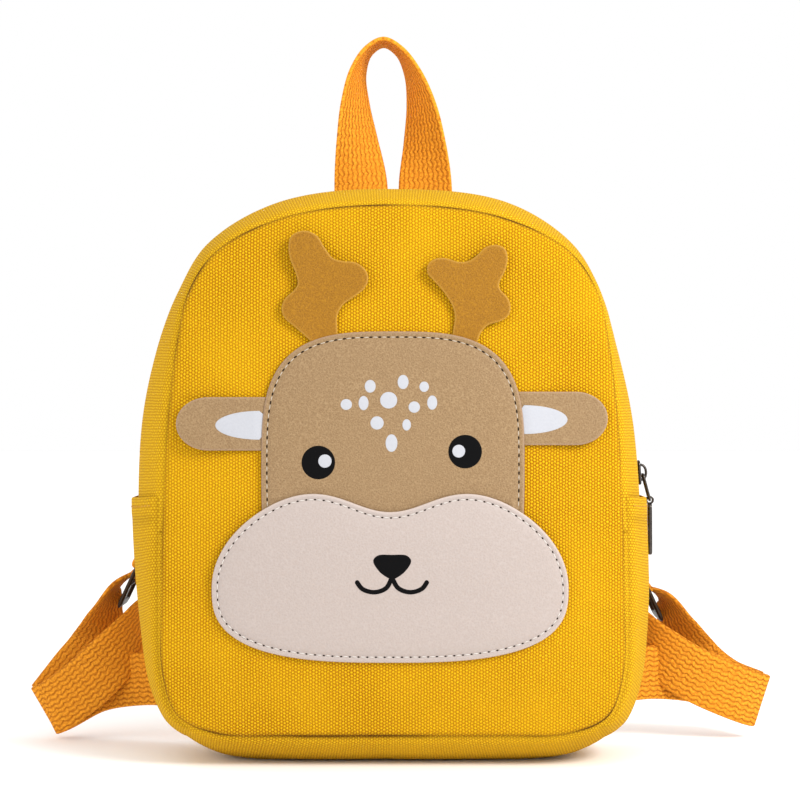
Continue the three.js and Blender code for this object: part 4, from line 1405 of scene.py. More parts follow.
@dataclass
class Zip:
    """The zip's tape and teeth, its slider with a crown loop, and the pull that hangs from it."""

    shell: Shell
    tape_inset: float = 0.5
    tape_thick: float = 1.0
    tape_columns: int = 5
    tooth_step: float = 1.5
    tooth: Triple = (1.05, 2.5, 1.3)
    tooth_apart: float = 0.9
    tooth_proud: float = 0.1
    slider_row: float = 6.32
    slider_span: float = 0.15
    fill_step: float = 1.6
    plate: Triple = (8.0, 11.0, 1.2)
    plate_corner: float = 2.4
    corner_steps: int = 8
    plate_taper: float = 0.16
    plate_proud: float = 1.2
    loop: Triple = (7.8, 3.1, 1.2)
    loop_points: int = 25
    loop_power: float = 0.75
    loop_foot: float = 0.5
    eye_chamfer: float = 1.8
    link: Triple = (6.4, 13.0, 1.1)
    link_corner: float = 1.5
    link_steps: int = 6
    link_slant: float = math.radians(15)
    tab: Triple = (8.0, 22.9, 1.8)
    tab_corner: float = 1.9
    tab_taper: float = 0.3
    # Shares of the tab's length: where above its middle it starts to taper, and over what length
    tab_shoulder: Pair = (0.2, 0.3)
    tab_eye: Triple = (1.9, 1.05, 3.2)
    tab_gap: float = 0.3
    eye_points: int = 24
    eye_columns: int = 4

    def build(self) -> None:
        """Make the tape, teeth, slider and pull."""
        shape, shell, rows = self.shell.shape, self.shell, self.shell.zip_rows
        across = np.linspace(-0.5, 0.5, self.tape_columns) * shell.zip_open + shell.zip_depth
        row, depth = np.meshgrid(rows, across, indexing="ij")
        outer = shape.point(row, depth, -self.tape_inset)
        inner = shape.point(row, depth, -self.tape_inset - self.tape_thick)
        chart = np.stack([depth, shape.along(row)], -1)
        tape = wall(outer, inner, chart, np.zeros(row.shape))
        dress(tape.piece("zip_tape_woven", ZIP_TAPE), BAG, "zip_tape", "zip_tape")
        teeth = LineWork()
        teeth.add(*shape.line(rows, shell.zip_depth, self.tooth_proud))
        front, rear = (0.0, self.tooth_apart, 0.0), (self.tooth_step / 2, -self.tooth_apart, 0.0)
        for name, shift, nodes in (("zip_teeth", front, ["zip_coil"]), ("zip_teeth_rear", rear, [])):
            made = teeth.beads(name, ZIP_NYLON, self.tooth_step, self.tooth, shift)
            dress(made, BAG, "zip_coil", *nodes)
        self.slider()

    def slider(self) -> None:
        """Make the slider where the zip ends, and its pull on the crown loop's pivot."""
        shape, depth = self.shell.shape, self.shell.zip_depth
        at = shape.point(self.slider_row, depth, 0.0)
        way = (shape.point(self.slider_row + self.slider_span, depth, 0.0)
               - shape.point(self.slider_row - self.slider_span, depth, 0.0))
        lean = math.atan2(way[0], way[2])
        out = np.array([math.cos(lean), 0, -math.sin(lean)])
        up = np.array([math.sin(lean), 0, math.cos(lean)])

        def on_slider(across: Array, along: Array, height: Array) -> Array:
            """Points in the slider's own axes, with the height above its plate's underside."""
            return (at + BACKWARDS * across[..., None] + up * along[..., None]
                    + out * (height + self.plate_proud)[..., None])

        wide, long, thick = self.plate
        outline = rounded_rectangle(wide, long, self.plate_corner, self.corner_steps)
        outline[:, 0] *= 1 - self.plate_taper * np.clip(-outline[:, 1] / (long / 2), 0, 1)
        body = slab(outline, PLATE_RIM, self.fill_step, on_slider)
        loop_long, loop_tall, wire = self.loop
        angle = np.linspace(0, np.pi, self.loop_points)
        arch = np.stack([np.cos(angle) * (loop_long - wire) / 2,
                         np.sin(angle) ** self.loop_power * (loop_tall - wire / 2)], -1)
        arch = np.vstack([(arch[0, 0], -self.loop_foot), arch, (arch[-1, 0], -self.loop_foot)])
        path = on_slider(np.zeros(len(arch)), arch[:, 0], arch[:, 1] + thick)
        body = body.joined(sweep(path, np.tile(BACKWARDS, (len(path), 1)), round_section(wire / 2)))
        dress(body.piece("zip_slider_metal", GUNMETAL), BAG, "gunmetal", "zip_slider")
        plate_top = self.plate_proud + thick
        eye_top, eye_end = plate_top + loop_tall - wire, loop_long / 2 - wire
        pivot = at + out * (plate_top + eye_top) / 2 + up * (self.eye_chamfer - eye_end)
        self.pull(pivot)

    def pull(self, pivot: Array) -> None:
        """Make the pull's wire link and flat bar.

        Args:
            pivot: Where the link hangs in the crown loop.
        """
        wide, long, wire = self.link
        reach = long - wire
        lean = np.array([math.sin(self.link_slant), 0.0, -math.cos(self.link_slant)])
        loop = rounded_rectangle(wide - wire, reach, self.link_corner, self.link_steps)
        path = pivot + BACKWARDS * loop[:, :1] + lean * (reach / 2 - loop[:, 1:])
        flat = np.tile(np.cross(BACKWARDS, lean), (len(path), 1))
        link = sweep(path, flat, round_section(wire / 2), closed=True)
        dress(link.piece("zip_pull_wire", GUNMETAL), PULL, "gunmetal", "zip_pull_link")

        low = pivot + lean * reach
        ring, hole, neck = self.tab_eye
        wide, long, thick = self.tab
        middle = low[2] - hole - self.tab_gap - long / 2
        start, run = self.tab_shoulder
        outline = rounded_rectangle(wide, long, self.tab_corner, self.corner_steps)
        outline[:, 0] *= 1 - self.tab_taper * np.clip((outline[:, 1] - long * start) / (long * run), 0, 1)

        def on_tab(across: Array, along: Array, height: Array) -> Array:
            """Points in the tab's own axes, with the height from its inner side."""
            return np.stack([low[0] - thick / 2 + height, low[1] + across, middle + along], -1)

        bar = slab(outline, TAB_RIM, self.fill_step, on_tab)
        angle = np.linspace(0, 2 * np.pi, self.eye_points, endpoint=False)
        path = low + np.stack([np.cos(angle), 0 * angle, np.sin(angle)], -1) * (ring + hole) / 2
        section = flat_section(neck, ring - hole, self.eye_columns)
        eye = sweep(path, np.tile(BACKWARDS, (self.eye_points, 1)), section, closed=True)
        dress(bar.joined(eye).piece("zip_pull_bar", GUNMETAL), PULL, "gunmetal", "zip_pull_tab")


# Webbing

# Stations of the webbing: out, back and up, then the lean of its width out, back and up
SHOULDER = (
    (45, 42.0, 235, 1, 0, 0.1), (46.5, 43.0, 224, 1, 0, 0.12), (49, 45.5, 213, 1, 0, 0.16),
    (57, 57, 188, 0.97, 0, 0.25), (68, 67, 160, 0.93, 0.1, 0.3), (83, 70, 132, 0.8, 0.45, 0.3),
    (98, 66, 112, 0.4, 0.9, 0.2),
)
LOWER = {
    Side.LEFT: (
        (80, 42.8, 28, 0, 0, 1), (97, 43.4, 28, 0, 0, 1), (118, 51, 27.5, 0.08, 0, 1),
        (139, 56, 23.5, 0.3, 0, 0.95), (156, 57.5, 14.6, 0.51, 0, 0.86), (162, 53, 12.6, 0.51, 0, 0.86),
        (157, 48.5, 15, 0.48, 0, 0.88), (141, 47, 27, 0.28, 0, 0.96), (127.5, 49, 41, 0.23, -0.25, 0.94),
        (118, 54, 55, 0.2, -0.74, 0.65), (114.5, 57.5, 63, 0.05, -0.96, 0.2),
    ),
    Side.RIGHT: (
        (80, 42.8, 28.5, 0, 0, 1), (97, 43.4, 29, 0, 0, 1), (122, 51, 30.5, 0.05, 0, 1),
        (146, 56.5, 27, 0.15, 0, 0.99), (164.5, 58, 19, 0.31, 0, 0.95), (171, 53.5, 17, 0.31, 0, 0.95),
        (165.5, 49, 18.6, 0.31, 0, 0.95), (143, 47, 28, 0.36, 0, 0.93), (128, 49, 37, 0.4, -0.2, 0.88),
        (117, 54, 48, 0.3, -0.7, 0.65), (112.5, 61.5, 57, 0.05, -0.96, 0.2),
    ),
}
TAILS = {
    Side.LEFT: (
        (130.4, 56.0, 69.4, 0.02, -0.99, 0.14), (135.0, 58.6, 58.2, 0.45, -0.88, 0.18),
        (139.2, 61.9, 42.4, 0.82, -0.2, 0.53), (150.0, 62.1, 28.5, 0.78, 0.02, 0.62),
        (160.0, 61.5, 15.5, 0.6, 0.0, 0.8),
    ),
    Side.RIGHT: (
        (127.2, 61.0, 63.9, 0.2, -0.97, 0.1), (133.4, 62.3, 50.7, 0.43, -0.74, 0.51),
        (140.4, 62.2, 36.2, 0.6, -0.14, 0.79), (154.2, 62.4, 24.1, 0.44, -0.01, 0.9),
        (169.0, 62.0, 17.8, 0.35, 0.0, 0.94),
    ),
}
# The shoulder strap's way to its slider and its loose end: distances down from the upper bar, and outwards
TO_SLIDER = ((-25, -1.1), (-10, -1.1), (-5, -1.6))
LOOSE_END = ((-5, 1.6), (-10, 1.1), (-17, 1.1))
# The webbing's way round a bar: its inner and outer side, and the turns in degrees there
BAR_TURNS = ((-1, (-90, -45, 0)), (1, (0, 45, 90)))
SLIDER_PLACES = {Side.LEFT: (121.8, 58.0, 72.5), Side.RIGHT: (119.5, 62.5, 65.8)}
# The carry handle's stations: x, back, up and the turn of its width in degrees
HANDLE = (
    (-15, 42.6, 226, 0), (-14.9, 42.4, 240, 0), (-15, 43, 256, 12), (-16.6, 43, 277, 42),
    (-17.4, 43, 293, 60), (-16.2, 43, 308, 76), (-11.5, 43, 318, 86), (-4.6, 43, 322, 90),
    (2.5, 43, 318, 94), (8.5, 43, 308, 104), (12.5, 43, 293, 120), (14.2, 43, 275, 140),
    (14.6, 43, 256, 168), (14.9, 42.4, 240, 180), (15, 42.6, 226, 180),
)


@dataclass
class Straps:
    """The webbing straps with their three-bar sliders, and the carry handle."""

    sewing: dict[Sewing, LineWork]
    wide: float = 25.0
    thick: float = 1.8
    steps: int = 8
    columns: int = 11
    bar_gap: float = 0.45
    tilt: float = math.radians(25)
    slider_wide: float = 32.0
    slot_wide: float = 26.4
    bar: float = 4.0
    slot: float = 7.0
    slider_thick: float = 2.0
    slider_corner: float = 2.6
    slider_steps: int = 6
    bar_points: int = 9
    bar_columns: int = 4
    # The stitched box at a sewn end
    box_start: float = 2.0
    box_long: float = 15.0
    box_wide: float = 18.0
    box_points: int = 12
    stitch_proud: float = 0.05

    @property
    def bar_step(self) -> float:
        """The distance from bar to bar of a slider."""
        return self.bar + self.slot

    def strip(self, stations: Array, node: str, sewn: float = 0.0) -> None:
        """Make one strip of webbing.

        Args:
            stations: Points and width directions along the strip.
            node: The CAD node it stands for.
            sewn: The sign of its outer side at its sewn start, or 0 where no stitches show.
        """
        place = np.linspace(0, len(stations) - 1, (len(stations) - 1) * self.steps + 1)
        path, across = Spline(stations[:, :3]).at(place), Spline(stations[:, 3:]).at(place)
        strip = sweep(path, across, flat_section(self.wide, self.thick, self.columns))
        dress(strip.piece(node + "_webbing", WEBBING), BAG, "webbing", node)
        if not sewn:
            return
        across, normal = square_to(path, across)
        half, start, end = self.box_wide / 2, self.box_start, self.box_start + self.box_long
        turns = ((start, -half), (start, half), (end, half), (end, -half), (start, -half), (end, half))
        sides = zip(turns[:-1], turns[1:])
        fine = np.concatenate([np.linspace(a, b, self.box_points)[:-1] for a, b in sides])
        spot, out, width = (np.stack([np.interp(fine[:, 0], lengths(path), line[:, i]) for i in range(3)], -1)
                            for line in (path, normal * sewn, across))
        line = spot + width * fine[:, 1:] + out * (self.thick / 2 + self.stitch_proud)
        self.sewing[Sewing.WEBBING].add(line, out)

    def beside(self, side: Side, rows: Sequence[Pair], lean: float) -> Array:
        """Stations beside a slider.

        Args:
            side: Which slider.
            rows: Distances down along the slider and outwards from its middle plane.
            lean: 1 where the width leans back, and -1 where it comes from a twist and leans forward.

        Returns:
            The stations.
        """
        out, back, up = SLIDER_PLACES[side]
        down, away = np.array(rows).T
        x = out + down * math.sin(self.tilt) + away * math.cos(self.tilt)
        z = up - down * math.cos(self.tilt) + away * math.sin(self.tilt)
        still = np.zeros_like(x)
        return np.stack([side.value * x, still + back, z, still, still + lean, still], -1)

    def round_bar(self, place: float, way: float) -> list[Pair]:
        """Lead the webbing round one bar.

        Args:
            place: The bar's distance down from the slider's middle.
            way: 1 where the webbing passes below the bar, and -1 where it passes above.

        Returns:
            Distances down along the slider and outwards from its middle plane.
        """
        margin = self.thick / 2 + self.bar_gap
        rows = []
        for outer, angles in BAR_TURNS:
            for angle in np.radians(angles):
                rows.append((place + way * (self.bar / 2 + margin * math.cos(angle)),
                             outer * self.slider_thick / 2 + margin * math.sin(angle)))
        return rows

    def stations(self, side: Side, rows: Sequence[tuple[float, ...]]) -> Array:
        """Stations from a table, on one side of the bag."""
        mirror = np.array([side.value, 1, 1, side.value, 1, 1])
        return np.array(rows, float) * mirror

    def slider(self, side: Side) -> None:
        """Make one flat slider of three bars.

        Args:
            side: Which side of the bag it is on.
        """
        out, back, up = SLIDER_PLACES[side]
        middle = np.array([side.value * out, back, up])
        down = np.array([side.value * math.sin(self.tilt), 0, -math.cos(self.tilt)])
        face = np.array([side.value * math.cos(self.tilt), 0, math.sin(self.tilt)])
        rail, corner = (self.slider_wide - self.slot_wide) / 2, self.slider_corner
        loop = rounded_rectangle(self.slider_wide - rail, 2 * self.bar_step, corner, self.slider_steps)
        path = middle + BACKWARDS * loop[:, :1] + down * loop[:, 1:]
        ends = np.clip((np.abs(loop[:, 1]) - (self.bar_step - corner)) / corner, 0, 1)
        section = flat_section(1.0, 1.0, self.bar_columns)
        scale = 1 + (self.bar / rail - 1) * ends**2
        around = unit(np.cross(np.roll(path, -1, 0) - np.roll(path, 1, 0), face))
        frame_bar = sweep(path, around, section * (rail, self.slider_thick), closed=True, scale=scale)
        places = np.linspace(-0.5, 0.5, self.bar_points)[:, None] * (self.slot_wide + rail)
        bar = sweep(middle + BACKWARDS * places, np.tile(down, (self.bar_points, 1)),
                    section * (self.bar, self.slider_thick))
        name = f"strap_slider_{side.label}"
        dress(frame_bar.joined(bar).piece(name + "_metal", SHADED_GUNMETAL), BAG, "gunmetal", name)

    def build(self) -> None:
        """Make the straps, sliders and handle, and lay the stitches of their sewn ends."""
        for side in Side:
            ways = (TO_SLIDER, LOOSE_END)
            top, end = ([(down - self.bar_step, away) for down, away in way] for way in ways)
            turn = self.beside(side, top + self.round_bar(-self.bar_step, 1.0) + end, 1.0)
            shoulder = np.vstack([self.stations(side, SHOULDER), turn])
            self.strip(shoulder, f"shoulder_strap_{side.label}", -side.value)
            over = self.beside(side, self.round_bar(0.0, -1.0), -1.0)
            lower = np.vstack([self.stations(side, LOWER[side]), over, self.stations(side, TAILS[side])])
            self.strip(lower, f"lower_strap_{side.label}", side.value)
            self.slider(side)
        x, back, up, turn = np.array(HANDLE, float).T
        turn = np.radians(turn)
        handle = np.stack([x, back, up, np.cos(turn), np.sin(turn), 0 * x], -1)
        self.strip(handle, "carry_handle")


# Face

# Rims of the leather: insets and heights from the lower edge to the upper side. A sewn rim has a channel, in
# which the stitches lie at this inset and height
CUT_RIM = ((0.3, -0.1), (0.0, 0.05), (0.0, 0.85), (0.1, 1.12), (0.35, 1.27), (0.9, 1.32))
SEWN_RIM = ((0.3, -0.4), (0.0, -0.3), (0.0, 0.8), (0.12, 1.1), (0.4, 1.3), (1.0, 1.38), (1.6, 1.3),
            (2.1, 1.05), (2.4, 0.95), (2.7, 1.05), (3.3, 1.3), (4.4, 1.42), (7.0, 1.5))
STITCH_INSET, STITCH_HEIGHT = 2.4, 1.02
INK_RIM = ((0.25, -0.2), (0.0, -0.1), (0.0, 0.03), (0.06, 0.07), (0.2, 0.08))
# The two antlers' outlines as pairs of x and z, from the head round the inner, top and outer lobes and back
ANTLERS = {
    Side.LEFT: (
        (24.3, 178), (23.5, 185.8), (23.5, 192.6), (21.2, 197.1), (15.9, 200.9), (11.7, 204.6), (10.4, 208.4),
        (11.7, 212.2), (15.9, 215.2), (21.2, 215.8), (25.3, 217), (28.7, 221.2), (32.5, 226.9), (37.8, 228.7),
        (43, 226.5), (44.2, 222), (43.5, 216.7), (41.2, 210.7), (40.3, 206.2), (41.5, 203.9), (46, 199.4),
        (47.1, 195.6), (46, 191.9), (40.8, 187.3), (34.3, 181.3), (32, 178),
    ),
    Side.RIGHT: (
        (25, 178), (25.4, 185.8), (26.2, 192.6), (25, 197.1), (21.7, 202.4), (17.1, 207.7), (14.6, 210.7),
        (14.9, 214.4), (17.9, 216.7), (22.4, 217), (27.7, 215.5), (32.2, 215.9), (35.9, 218.5), (39, 221.5),
        (43.5, 222.7), (47.3, 221.2), (48.6, 217.4), (47.7, 212.2), (45, 206.2), (45.4, 203.9), (48.7, 200.1),
        (49.8, 196.4), (49, 192.9), (45.7, 190.4), (40.5, 188.8), (37.5, 185.8), (35.7, 181.3), (35, 178),
    ),
}
# Pale spots on the brow: x, z and the two radii
BROW_SPOTS = (
    (-9.6, 162.8, 2.3, 2.7), (4.3, 164.6, 2.3, 3.0), (13.2, 162.6, 2.0, 2.2), (-19.7, 155.1, 2.4, 2.3),
    (-12.4, 155.7, 2.1, 3.0), (-1.8, 156.9, 3.6, 3.5), (9.0, 154.0, 2.4, 2.4), (16.6, 155.9, 2.1, 3.0),
    (-6.7, 147.3, 2.8, 2.8), (5.8, 146.5, 1.8, 2.4), (-0.6, 138.8, 2.5, 3.7),
)
EYES = ((-31.5, 130.6, 7.1), (30.5, 135.2, 7.1))
GLINTS = ((-28.7, 131.2, 2.8), (27.8, 135.4, 2.7))
NOSE = ((-8.3, 89.2), (-6.4, 91.4), (-0.3, 91.7), (5.8, 91.4), (7.7, 89.2), (5.4, 84.9), (1.7, 82.0),
        (-0.3, 81.3), (-2.3, 82.0), (-6.0, 84.9))
# Each ear's tip and middle height, and its pale print's middle and two radii
EARS = {Side.LEFT: (91.9, 146.9), Side.RIGHT: (91.0, 149.2)}
EAR_PRINTS = {Side.LEFT: (56.5, 146.3, 18.7, 6.1), Side.RIGHT: (55.5, 148.7, 18.4, 6.1)}
MOUTHS = (((-15.6, 80.8), (-12.9, 77.3), (-7.8, 75.9), (-2.9, 77.6), (-0.4, 82.0)),
          ((-0.4, 82.0), (2.3, 77.6), (7.4, 75.9), (12.3, 77.4), (14.8, 80.8)))


@dataclass
class Face:
    """The leather-look animal face on the front panel, with its prints and stitches."""

    shape: BodyShape
    sewing: dict[Sewing, LineWork]
    off: float = 0.6
    # Points round the head and muzzle, each side of an ear, its end, the nose and a mouth line, and each step
    # of an antler
    outline_points: int = 240
    ear_points: int = 30
    ear_end_points: int = 49
    nose_points: int = 80
    mouth_points: int = 121
    antler_steps: int = 6
    # Distances between the points that fill sewn patches, flaps and prints
    patch_step: float = 3.5
    flap_step: float = 3.0
    ink_step: float = 2.0
    head_half: float = 55.7
    head_top: float = 186.0
    head_brow: float = 130.0
    head_below: float = 70.0
    head_power: float = 3.2
    muzzle_x: float = -1.2
    muzzle_half: float = 75.6
    muzzle_middle: float = 77.0
    muzzle_above: float = 48.0
    muzzle_below: float = 31.3
    muzzle_power: float = 2.8
    muzzle_dip: float = 15.3
    dip_width: float = 25.4
    muzzle_lift: float = 2.0
    lift_start: float = 70.0
    lift_run: float = 30.0
    # The least points of the edge that closes a cut outline, and the kept points for each of them
    cut_least: int = 8
    cut_share: int = 3
    tuck: float = 5.0
    stitch_clear: float = 1.0
    glint_proud: float = 0.09
    mouth_wide: float = 2.0
    mouth_thick: float = 0.18
    mouth_columns: int = 5
    mouth_end: float = 0.02
    ear_root: float = 50.0
    ear_half: float = 11.3
    ear_round: float = 13.6
    ear_lift: float = 3.5
    antler_root: Pair = (30.0, 186.0)
    antler_reach: float = 44.0
    antler_lift: float = 3.5
    antler_power: float = 1.3
    flap_tuck: float = 0.9
    flap_dip: float = 0.75
    dip_reach: float = 3.0

    def top_of_head(self, x: Array) -> Array:
        """The head's upper edge above places along X."""
        share = np.clip(1 - np.abs(x / self.head_half) ** self.head_power, 0, 1) ** (1 / self.head_power)
        return self.head_brow + (self.head_top - self.head_brow) * share

    def side_of_head(self, z: Array) -> Array:
        """The head's side edge at heights above the brow line."""
        rise = np.maximum(0, z - self.head_brow) / (self.head_top - self.head_brow)
        return self.head_half * np.clip(1 - rise**self.head_power, 0, 1) ** (1 / self.head_power)

    def top_of_muzzle(self, x: Array) -> Array:
        """Find the muzzle's upper edge.

        Args:
            x: Places along X.

        Returns:
            The edge's heights.
        """
        across = x - self.muzzle_x
        bow = np.sqrt(np.clip(1 - (across / self.muzzle_half) ** 2, 0, 1))
        dip = self.muzzle_dip * np.exp(-((across / self.dip_width) ** 2))
        return self.muzzle_middle + self.muzzle_above * bow - dip

    def cut(self, outline: Array, limit: Callable[[Array], Array], axis: int, gap: float) -> Array:
        """Cut an outline where another piece lies over it.

        Args:
            outline: The whole outline.
            limit: The other piece's edge, from the coordinate along that edge.
            axis: Which coordinate runs along that edge.
            gap: The gap to that edge, less than zero where the outline is tucked under it.

        Returns:
            The outline that is left, closed along the other piece's edge.
        """
        left = kept_run(outline, outline[:, 1 - axis] > limit(outline[:, axis]) + gap)
        count = max(self.cut_least, len(left) // self.cut_share)
        ends = np.linspace(left[-1, axis], left[0, axis], count)[1:-1]
        edge = np.zeros((len(ends), 2))
        edge[:, axis], edge[:, 1 - axis] = ends, limit(ends) + gap
        return np.vstack([left, edge])

    def on_front(self, lift: Stand | None = None) -> Placer:
        """A placer of leather on the front panel, off which it stands by a lift."""
        stand = lift or (lambda x, z: 0.0)
        return lambda x, z, high: np.stack([x, self.shape.front(x, z) - self.off - stand(x, z) - high, z], -1)

    def muzzle_stand(self, x: Array, z: Array) -> Array:
        """The muzzle's rise where it lies over the head."""
        return self.muzzle_lift * np.clip((z - self.lift_start) / self.lift_run, 0, 1)

    def sew(self, kind: Sewing, line: Array, place: Placer, closed: bool) -> None:
        """Lay a line of stitches in the channel of a sewn rim, in the patch's plane."""
        points = place(line[:, 0], line[:, 1], np.full(len(line), STITCH_HEIGHT))
        self.sewing[kind].add(points, FORWARDS, closed)

    def build(self) -> None:
        """Make the leather patches and prints, and lay the stitches of head and muzzle."""
        angle = np.linspace(0, 2 * np.pi, self.outline_points, endpoint=False)
        flat, raised = self.on_front(), self.on_front(self.muzzle_stand)
        reach = np.where(np.sin(angle) > 0, self.head_top - self.head_brow, self.head_below)
        whole = np.stack([self.head_half * bent(np.cos(angle), self.head_power),
                          self.head_brow + reach * bent(np.sin(angle), self.head_power)], -1)
        head = self.cut(whole, self.top_of_muzzle, 0, -self.tuck)
        patch = slab(head, SEWN_RIM, self.patch_step, flat)
        dress(patch.piece("head_leather", HEAD_LEATHER), BAG, "head_leather", "head_patch")
        sewn = inset(whole, STITCH_INSET)
        shown = sewn[:, 1] > self.top_of_muzzle(sewn[:, 0]) + self.stitch_clear
        self.sew(Sewing.HEAD, kept_run(sewn, shown), flat, False)

        low = np.sin(angle) < 0
        power = np.where(low, self.muzzle_power, 2.0)
        x = self.muzzle_x + self.muzzle_half * bent(np.cos(angle), power)
        chin = self.muzzle_middle + self.muzzle_below * bent(np.sin(angle), power)
        muzzle = np.stack([x, np.where(low, chin, self.top_of_muzzle(x))], -1)
        patch = slab(muzzle, SEWN_RIM, self.patch_step, raised)
        dress(patch.piece("muzzle_leather", MUZZLE_LEATHER), BAG, "muzzle_leather", "muzzle_patch")
        self.sew(Sewing.MUZZLE, inset(muzzle, STITCH_INSET), raised, True)
        for side in Side:
            self.flaps(side)
        self.prints(flat, raised)

    def ear_stand(self, tip: float, x: Array, z: Array) -> Array:
        """How far an ear lifts off towards its tip, and dips under the head's edge."""
        reach = np.maximum(0, (np.abs(x) - self.head_half) / (tip - self.head_half))
        return self.ear_lift * reach**2 - self.dip(np.abs(x) - self.side_of_head(z))

    def antler_stand(self, x: Array, z: Array) -> Array:
        """How far an antler lifts off away from its root, and dips under the head's edge.

        Args:
            x: Places along X.
            z: Heights.

        Returns:
            The lifts at those places.
        """
        root_x, root_z = self.antler_root
        reach = np.hypot(np.abs(x) - root_x, z - root_z) / self.antler_reach
        return self.antler_lift * reach**self.antler_power - self.dip(z - self.top_of_head(x))

    def dip(self, distance: Array) -> Array:
        """How deep a flap lies at a distance from the head's edge."""
        return self.flap_dip * np.clip(1 - distance / self.dip_reach, 0, 1) ** 2

    def flaps(self, side: Side) -> None:
        """Make the ear and the antler of one side, with the ear's pale print.

        Args:
            side: Which side of the face.
        """
        mirror = np.array([side.value, 1])
        tip, middle = EARS[side]
        angle = np.linspace(-np.pi / 2, np.pi / 2, self.ear_end_points)
        end = np.stack([tip - self.ear_round + self.ear_round * np.cos(angle),
                        middle + self.ear_half * np.sin(angle)], -1)
        root = np.array([[self.ear_root, middle + self.ear_half], [self.ear_root, middle - self.ear_half]])
        top = np.linspace(end[-1], root[0], self.ear_points)[1:]
        bottom = np.linspace(root[1], end[0], self.ear_points)[:-1]
        ear = self.cut(np.vstack([end, top, bottom]), self.side_of_head, 1, -self.flap_tuck) * mirror
        ear_place = self.on_front(partial(self.ear_stand, tip))
        name = f"ear_{side.label}"
        patch = slab(ear, CUT_RIM, self.flap_step, ear_place)
        dress(patch.piece(name + "_leather", HEAD_LEATHER), BAG, "head_leather", name)

        rows = np.array(ANTLERS[side], float)
        places = np.linspace(0, len(rows), self.antler_steps * len(rows), endpoint=False)
        antler = self.cut(Spline(rows, True).at(places), self.top_of_head, 0, -self.flap_tuck) * mirror
        name = f"antler_{side.label}"
        patch = slab(antler, CUT_RIM, self.flap_step, self.on_front(self.antler_stand))
        dress(patch.piece(name + "_leather", ANTLER_LEATHER), BAG, "antler_leather", name)

        inner = self.cut(spots([EAR_PRINTS[side]])[0], self.side_of_head, 1, -self.flap_tuck / 2) * mirror
        self.ink([inner], f"ear_{side.label}_print", WHITE_INK, ear_place, CUT_RIM[-1][1])

    def ink(self, outlines: list[Array], name: str, finish: Finish, place: Placer, height: float) -> None:
        """Print flat shapes of ink on leather.

        Args:
            outlines: The shapes' outlines.
            name: The piece's name.
            finish: The ink.
            place: The leather's placer.
            height: The leather's upper side.
        """
        rim = [(distance, height + above) for distance, above in INK_RIM]
        printed = reduce(Surface.joined, [slab(outline, rim, self.ink_step, place) for outline in outlines])
        dress(printed.piece(name, finish), BAG, "muzzle_leather")

    def prints(self, flat: Placer, raised: Placer) -> None:
        """Print the eyes, brow spots, nose and mouth.

        Args:
            flat: The head's placer.
            raised: The muzzle's placer.
        """
        top = SEWN_RIM[-1][1]
        self.ink(spots(EYES), "eye_print", BLACK_INK, flat, top)
        self.ink(spots(GLINTS), "eye_glint_print", WHITE_INK, flat, top + self.glint_proud)
        self.ink(spots(BROW_SPOTS), "brow_spot_print", WHITE_INK, flat, top)
        nose = Spline(np.array(NOSE), True).at(np.linspace(0, len(NOSE), self.nose_points, endpoint=False))
        self.ink([nose], "nose_print", BLACK_INK, raised, top)
        strokes = []
        for line in MOUTHS:
            path = Spline(np.array(line)).at(np.linspace(0, len(line) - 1, self.mouth_points))
            points = raised(path[:, 0], path[:, 1], np.full(len(path), top))
            across = np.cross(unit(np.gradient(points, axis=0)), FORWARDS)
            from_end = np.minimum(lengths(points), lengths(points[::-1])[::-1]) / (self.mouth_wide / 2)
            taper = np.sqrt(np.clip(1 - (1 - np.minimum(1, from_end)) ** 2, self.mouth_end, 1))
            section = flat_section(self.mouth_wide, self.mouth_thick, self.mouth_columns)
            strokes.append(sweep(points, across, section, scale=taper))
        dress(reduce(Surface.joined, strokes).piece("mouth_print", BLACK_INK), BAG, "muzzle_leather")


# Studio


@dataclass(frozen=True)
class Lamp:
    """A light: its kind, where it hangs or comes from in metres, and its settings."""

    name: str
    kind: str
    place: Triple
    settings: dict[str, float | str]


# A soft round light in front on the right, and even glows from far away on the left and behind
LAMPS = (
    Lamp("key_light", "AREA", (0.62, -0.6, 0.62), {"shape": "DISK", "size": 0.4, "energy": 8.5}),
    Lamp("fill_light", "SUN", (-1.0, -0.8, 0.35), {"angle": math.radians(60), "energy": 1.1}),
    Lamp("back_light", "SUN", (-0.4, 1.0, 0.5), {"angle": math.radians(90), "energy": 0.9}),
)


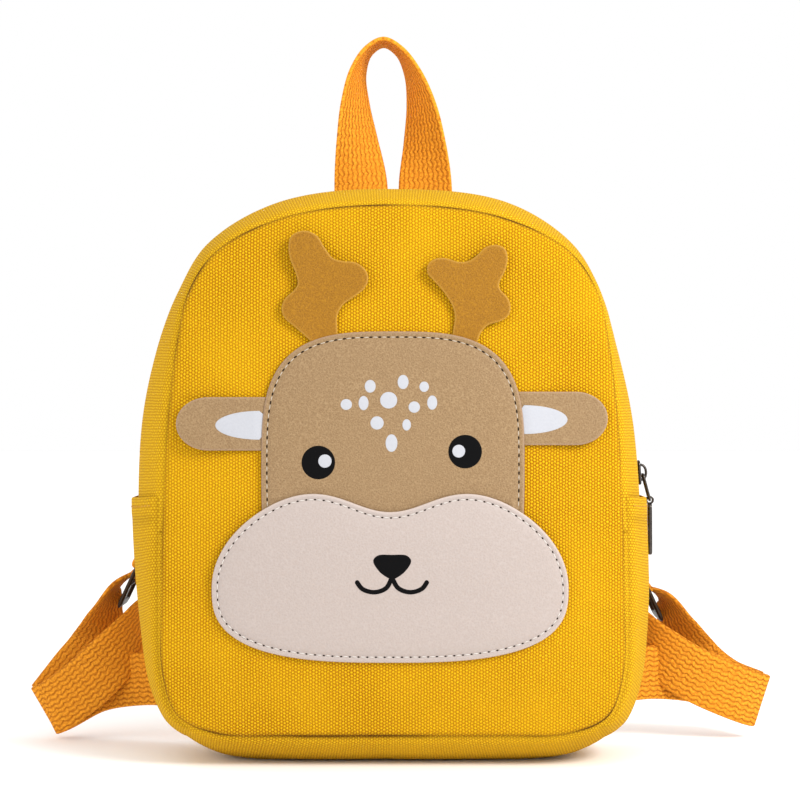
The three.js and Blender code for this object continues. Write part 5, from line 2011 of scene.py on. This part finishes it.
@dataclass
class Studio:
    """A plain pale floor, soft light and the camera at the photograph's angle."""

    camera_place: Triple = (0.003, -1.040, 0.157)
    focal_px: float = 2347.0
    image_px: float = 800.0
    sensor_mm: float = 36.0
    middle: Triple = (0.0, 0.0, 0.14)
    floor_half: float = 6.0
    floor_drop: float = 0.0003
    sky: str = "#ffffff"
    sky_strength: float = 1.0

    def hang(self, lamp: Lamp) -> None:
        """Hang a light, turned to the bag's middle.

        Args:
            lamp: The light.
        """
        light = bpy.data.lights.new(lamp.name, lamp.kind)
        for name, value in lamp.settings.items():
            setattr(light, name, value)
        hung = in_scene(lamp.name, light)
        hung.location = lamp.place
        hung.rotation_euler = (Vector(self.middle) - Vector(lamp.place)).to_track_quat("-Z", "Y").to_euler()

    def build(self) -> None:
        """Set the floor, the sky, the lights and the camera."""
        scene = bpy.context.scene
        scene.view_settings.view_transform = "Standard"
        world = bpy.data.worlds.new("studio_sky")
        world.use_nodes = True
        sky = world.node_tree.nodes["Background"]
        sky.inputs["Color"].default_value = linear(self.sky)
        sky.inputs["Strength"].default_value = self.sky_strength
        scene.world = world
        half = self.floor_half
        mesh = bpy.data.meshes.new("studio_floor")
        ground = ((-half, -half), (half, -half), (half, half), (-half, half))
        corners = [(x, y, -self.floor_drop) for x, y in ground]
        mesh.from_pydata(corners, [], [(0, 1, 2, 3)])
        mesh.materials.append(FLOOR_PAINT.material())
        floor = in_scene("studio_floor", mesh)
        for lamp in LAMPS:
            self.hang(lamp)
        lens = bpy.data.cameras.new("photo_camera")
        lens.sensor_width = self.sensor_mm
        lens.lens = self.focal_px / self.image_px * self.sensor_mm
        camera = in_scene("photo_camera", lens)
        camera.location = self.camera_place
        camera.rotation_euler = (math.radians(90), 0, 0)
        scene.camera = camera


def main() -> None:
    """Build the backpack's pieces in order."""
    logging.basicConfig(level=logging.INFO, format="%(message)s")
    sewing = {kind: LineWork() for kind in Sewing}
    shape = BodyShape()
    shell = Shell(shape, sewing)
    for part in (Studio(), shell, Pockets(shell), Zip(shell), Straps(sewing), Face(shape, sewing)):
        part.build()
    for name, kind, finish, slot, *sizes in STITCHES:
        dress(sewing[kind].beads(name, finish, *sizes), BAG, slot)


if __name__ == "__main__":
    main()
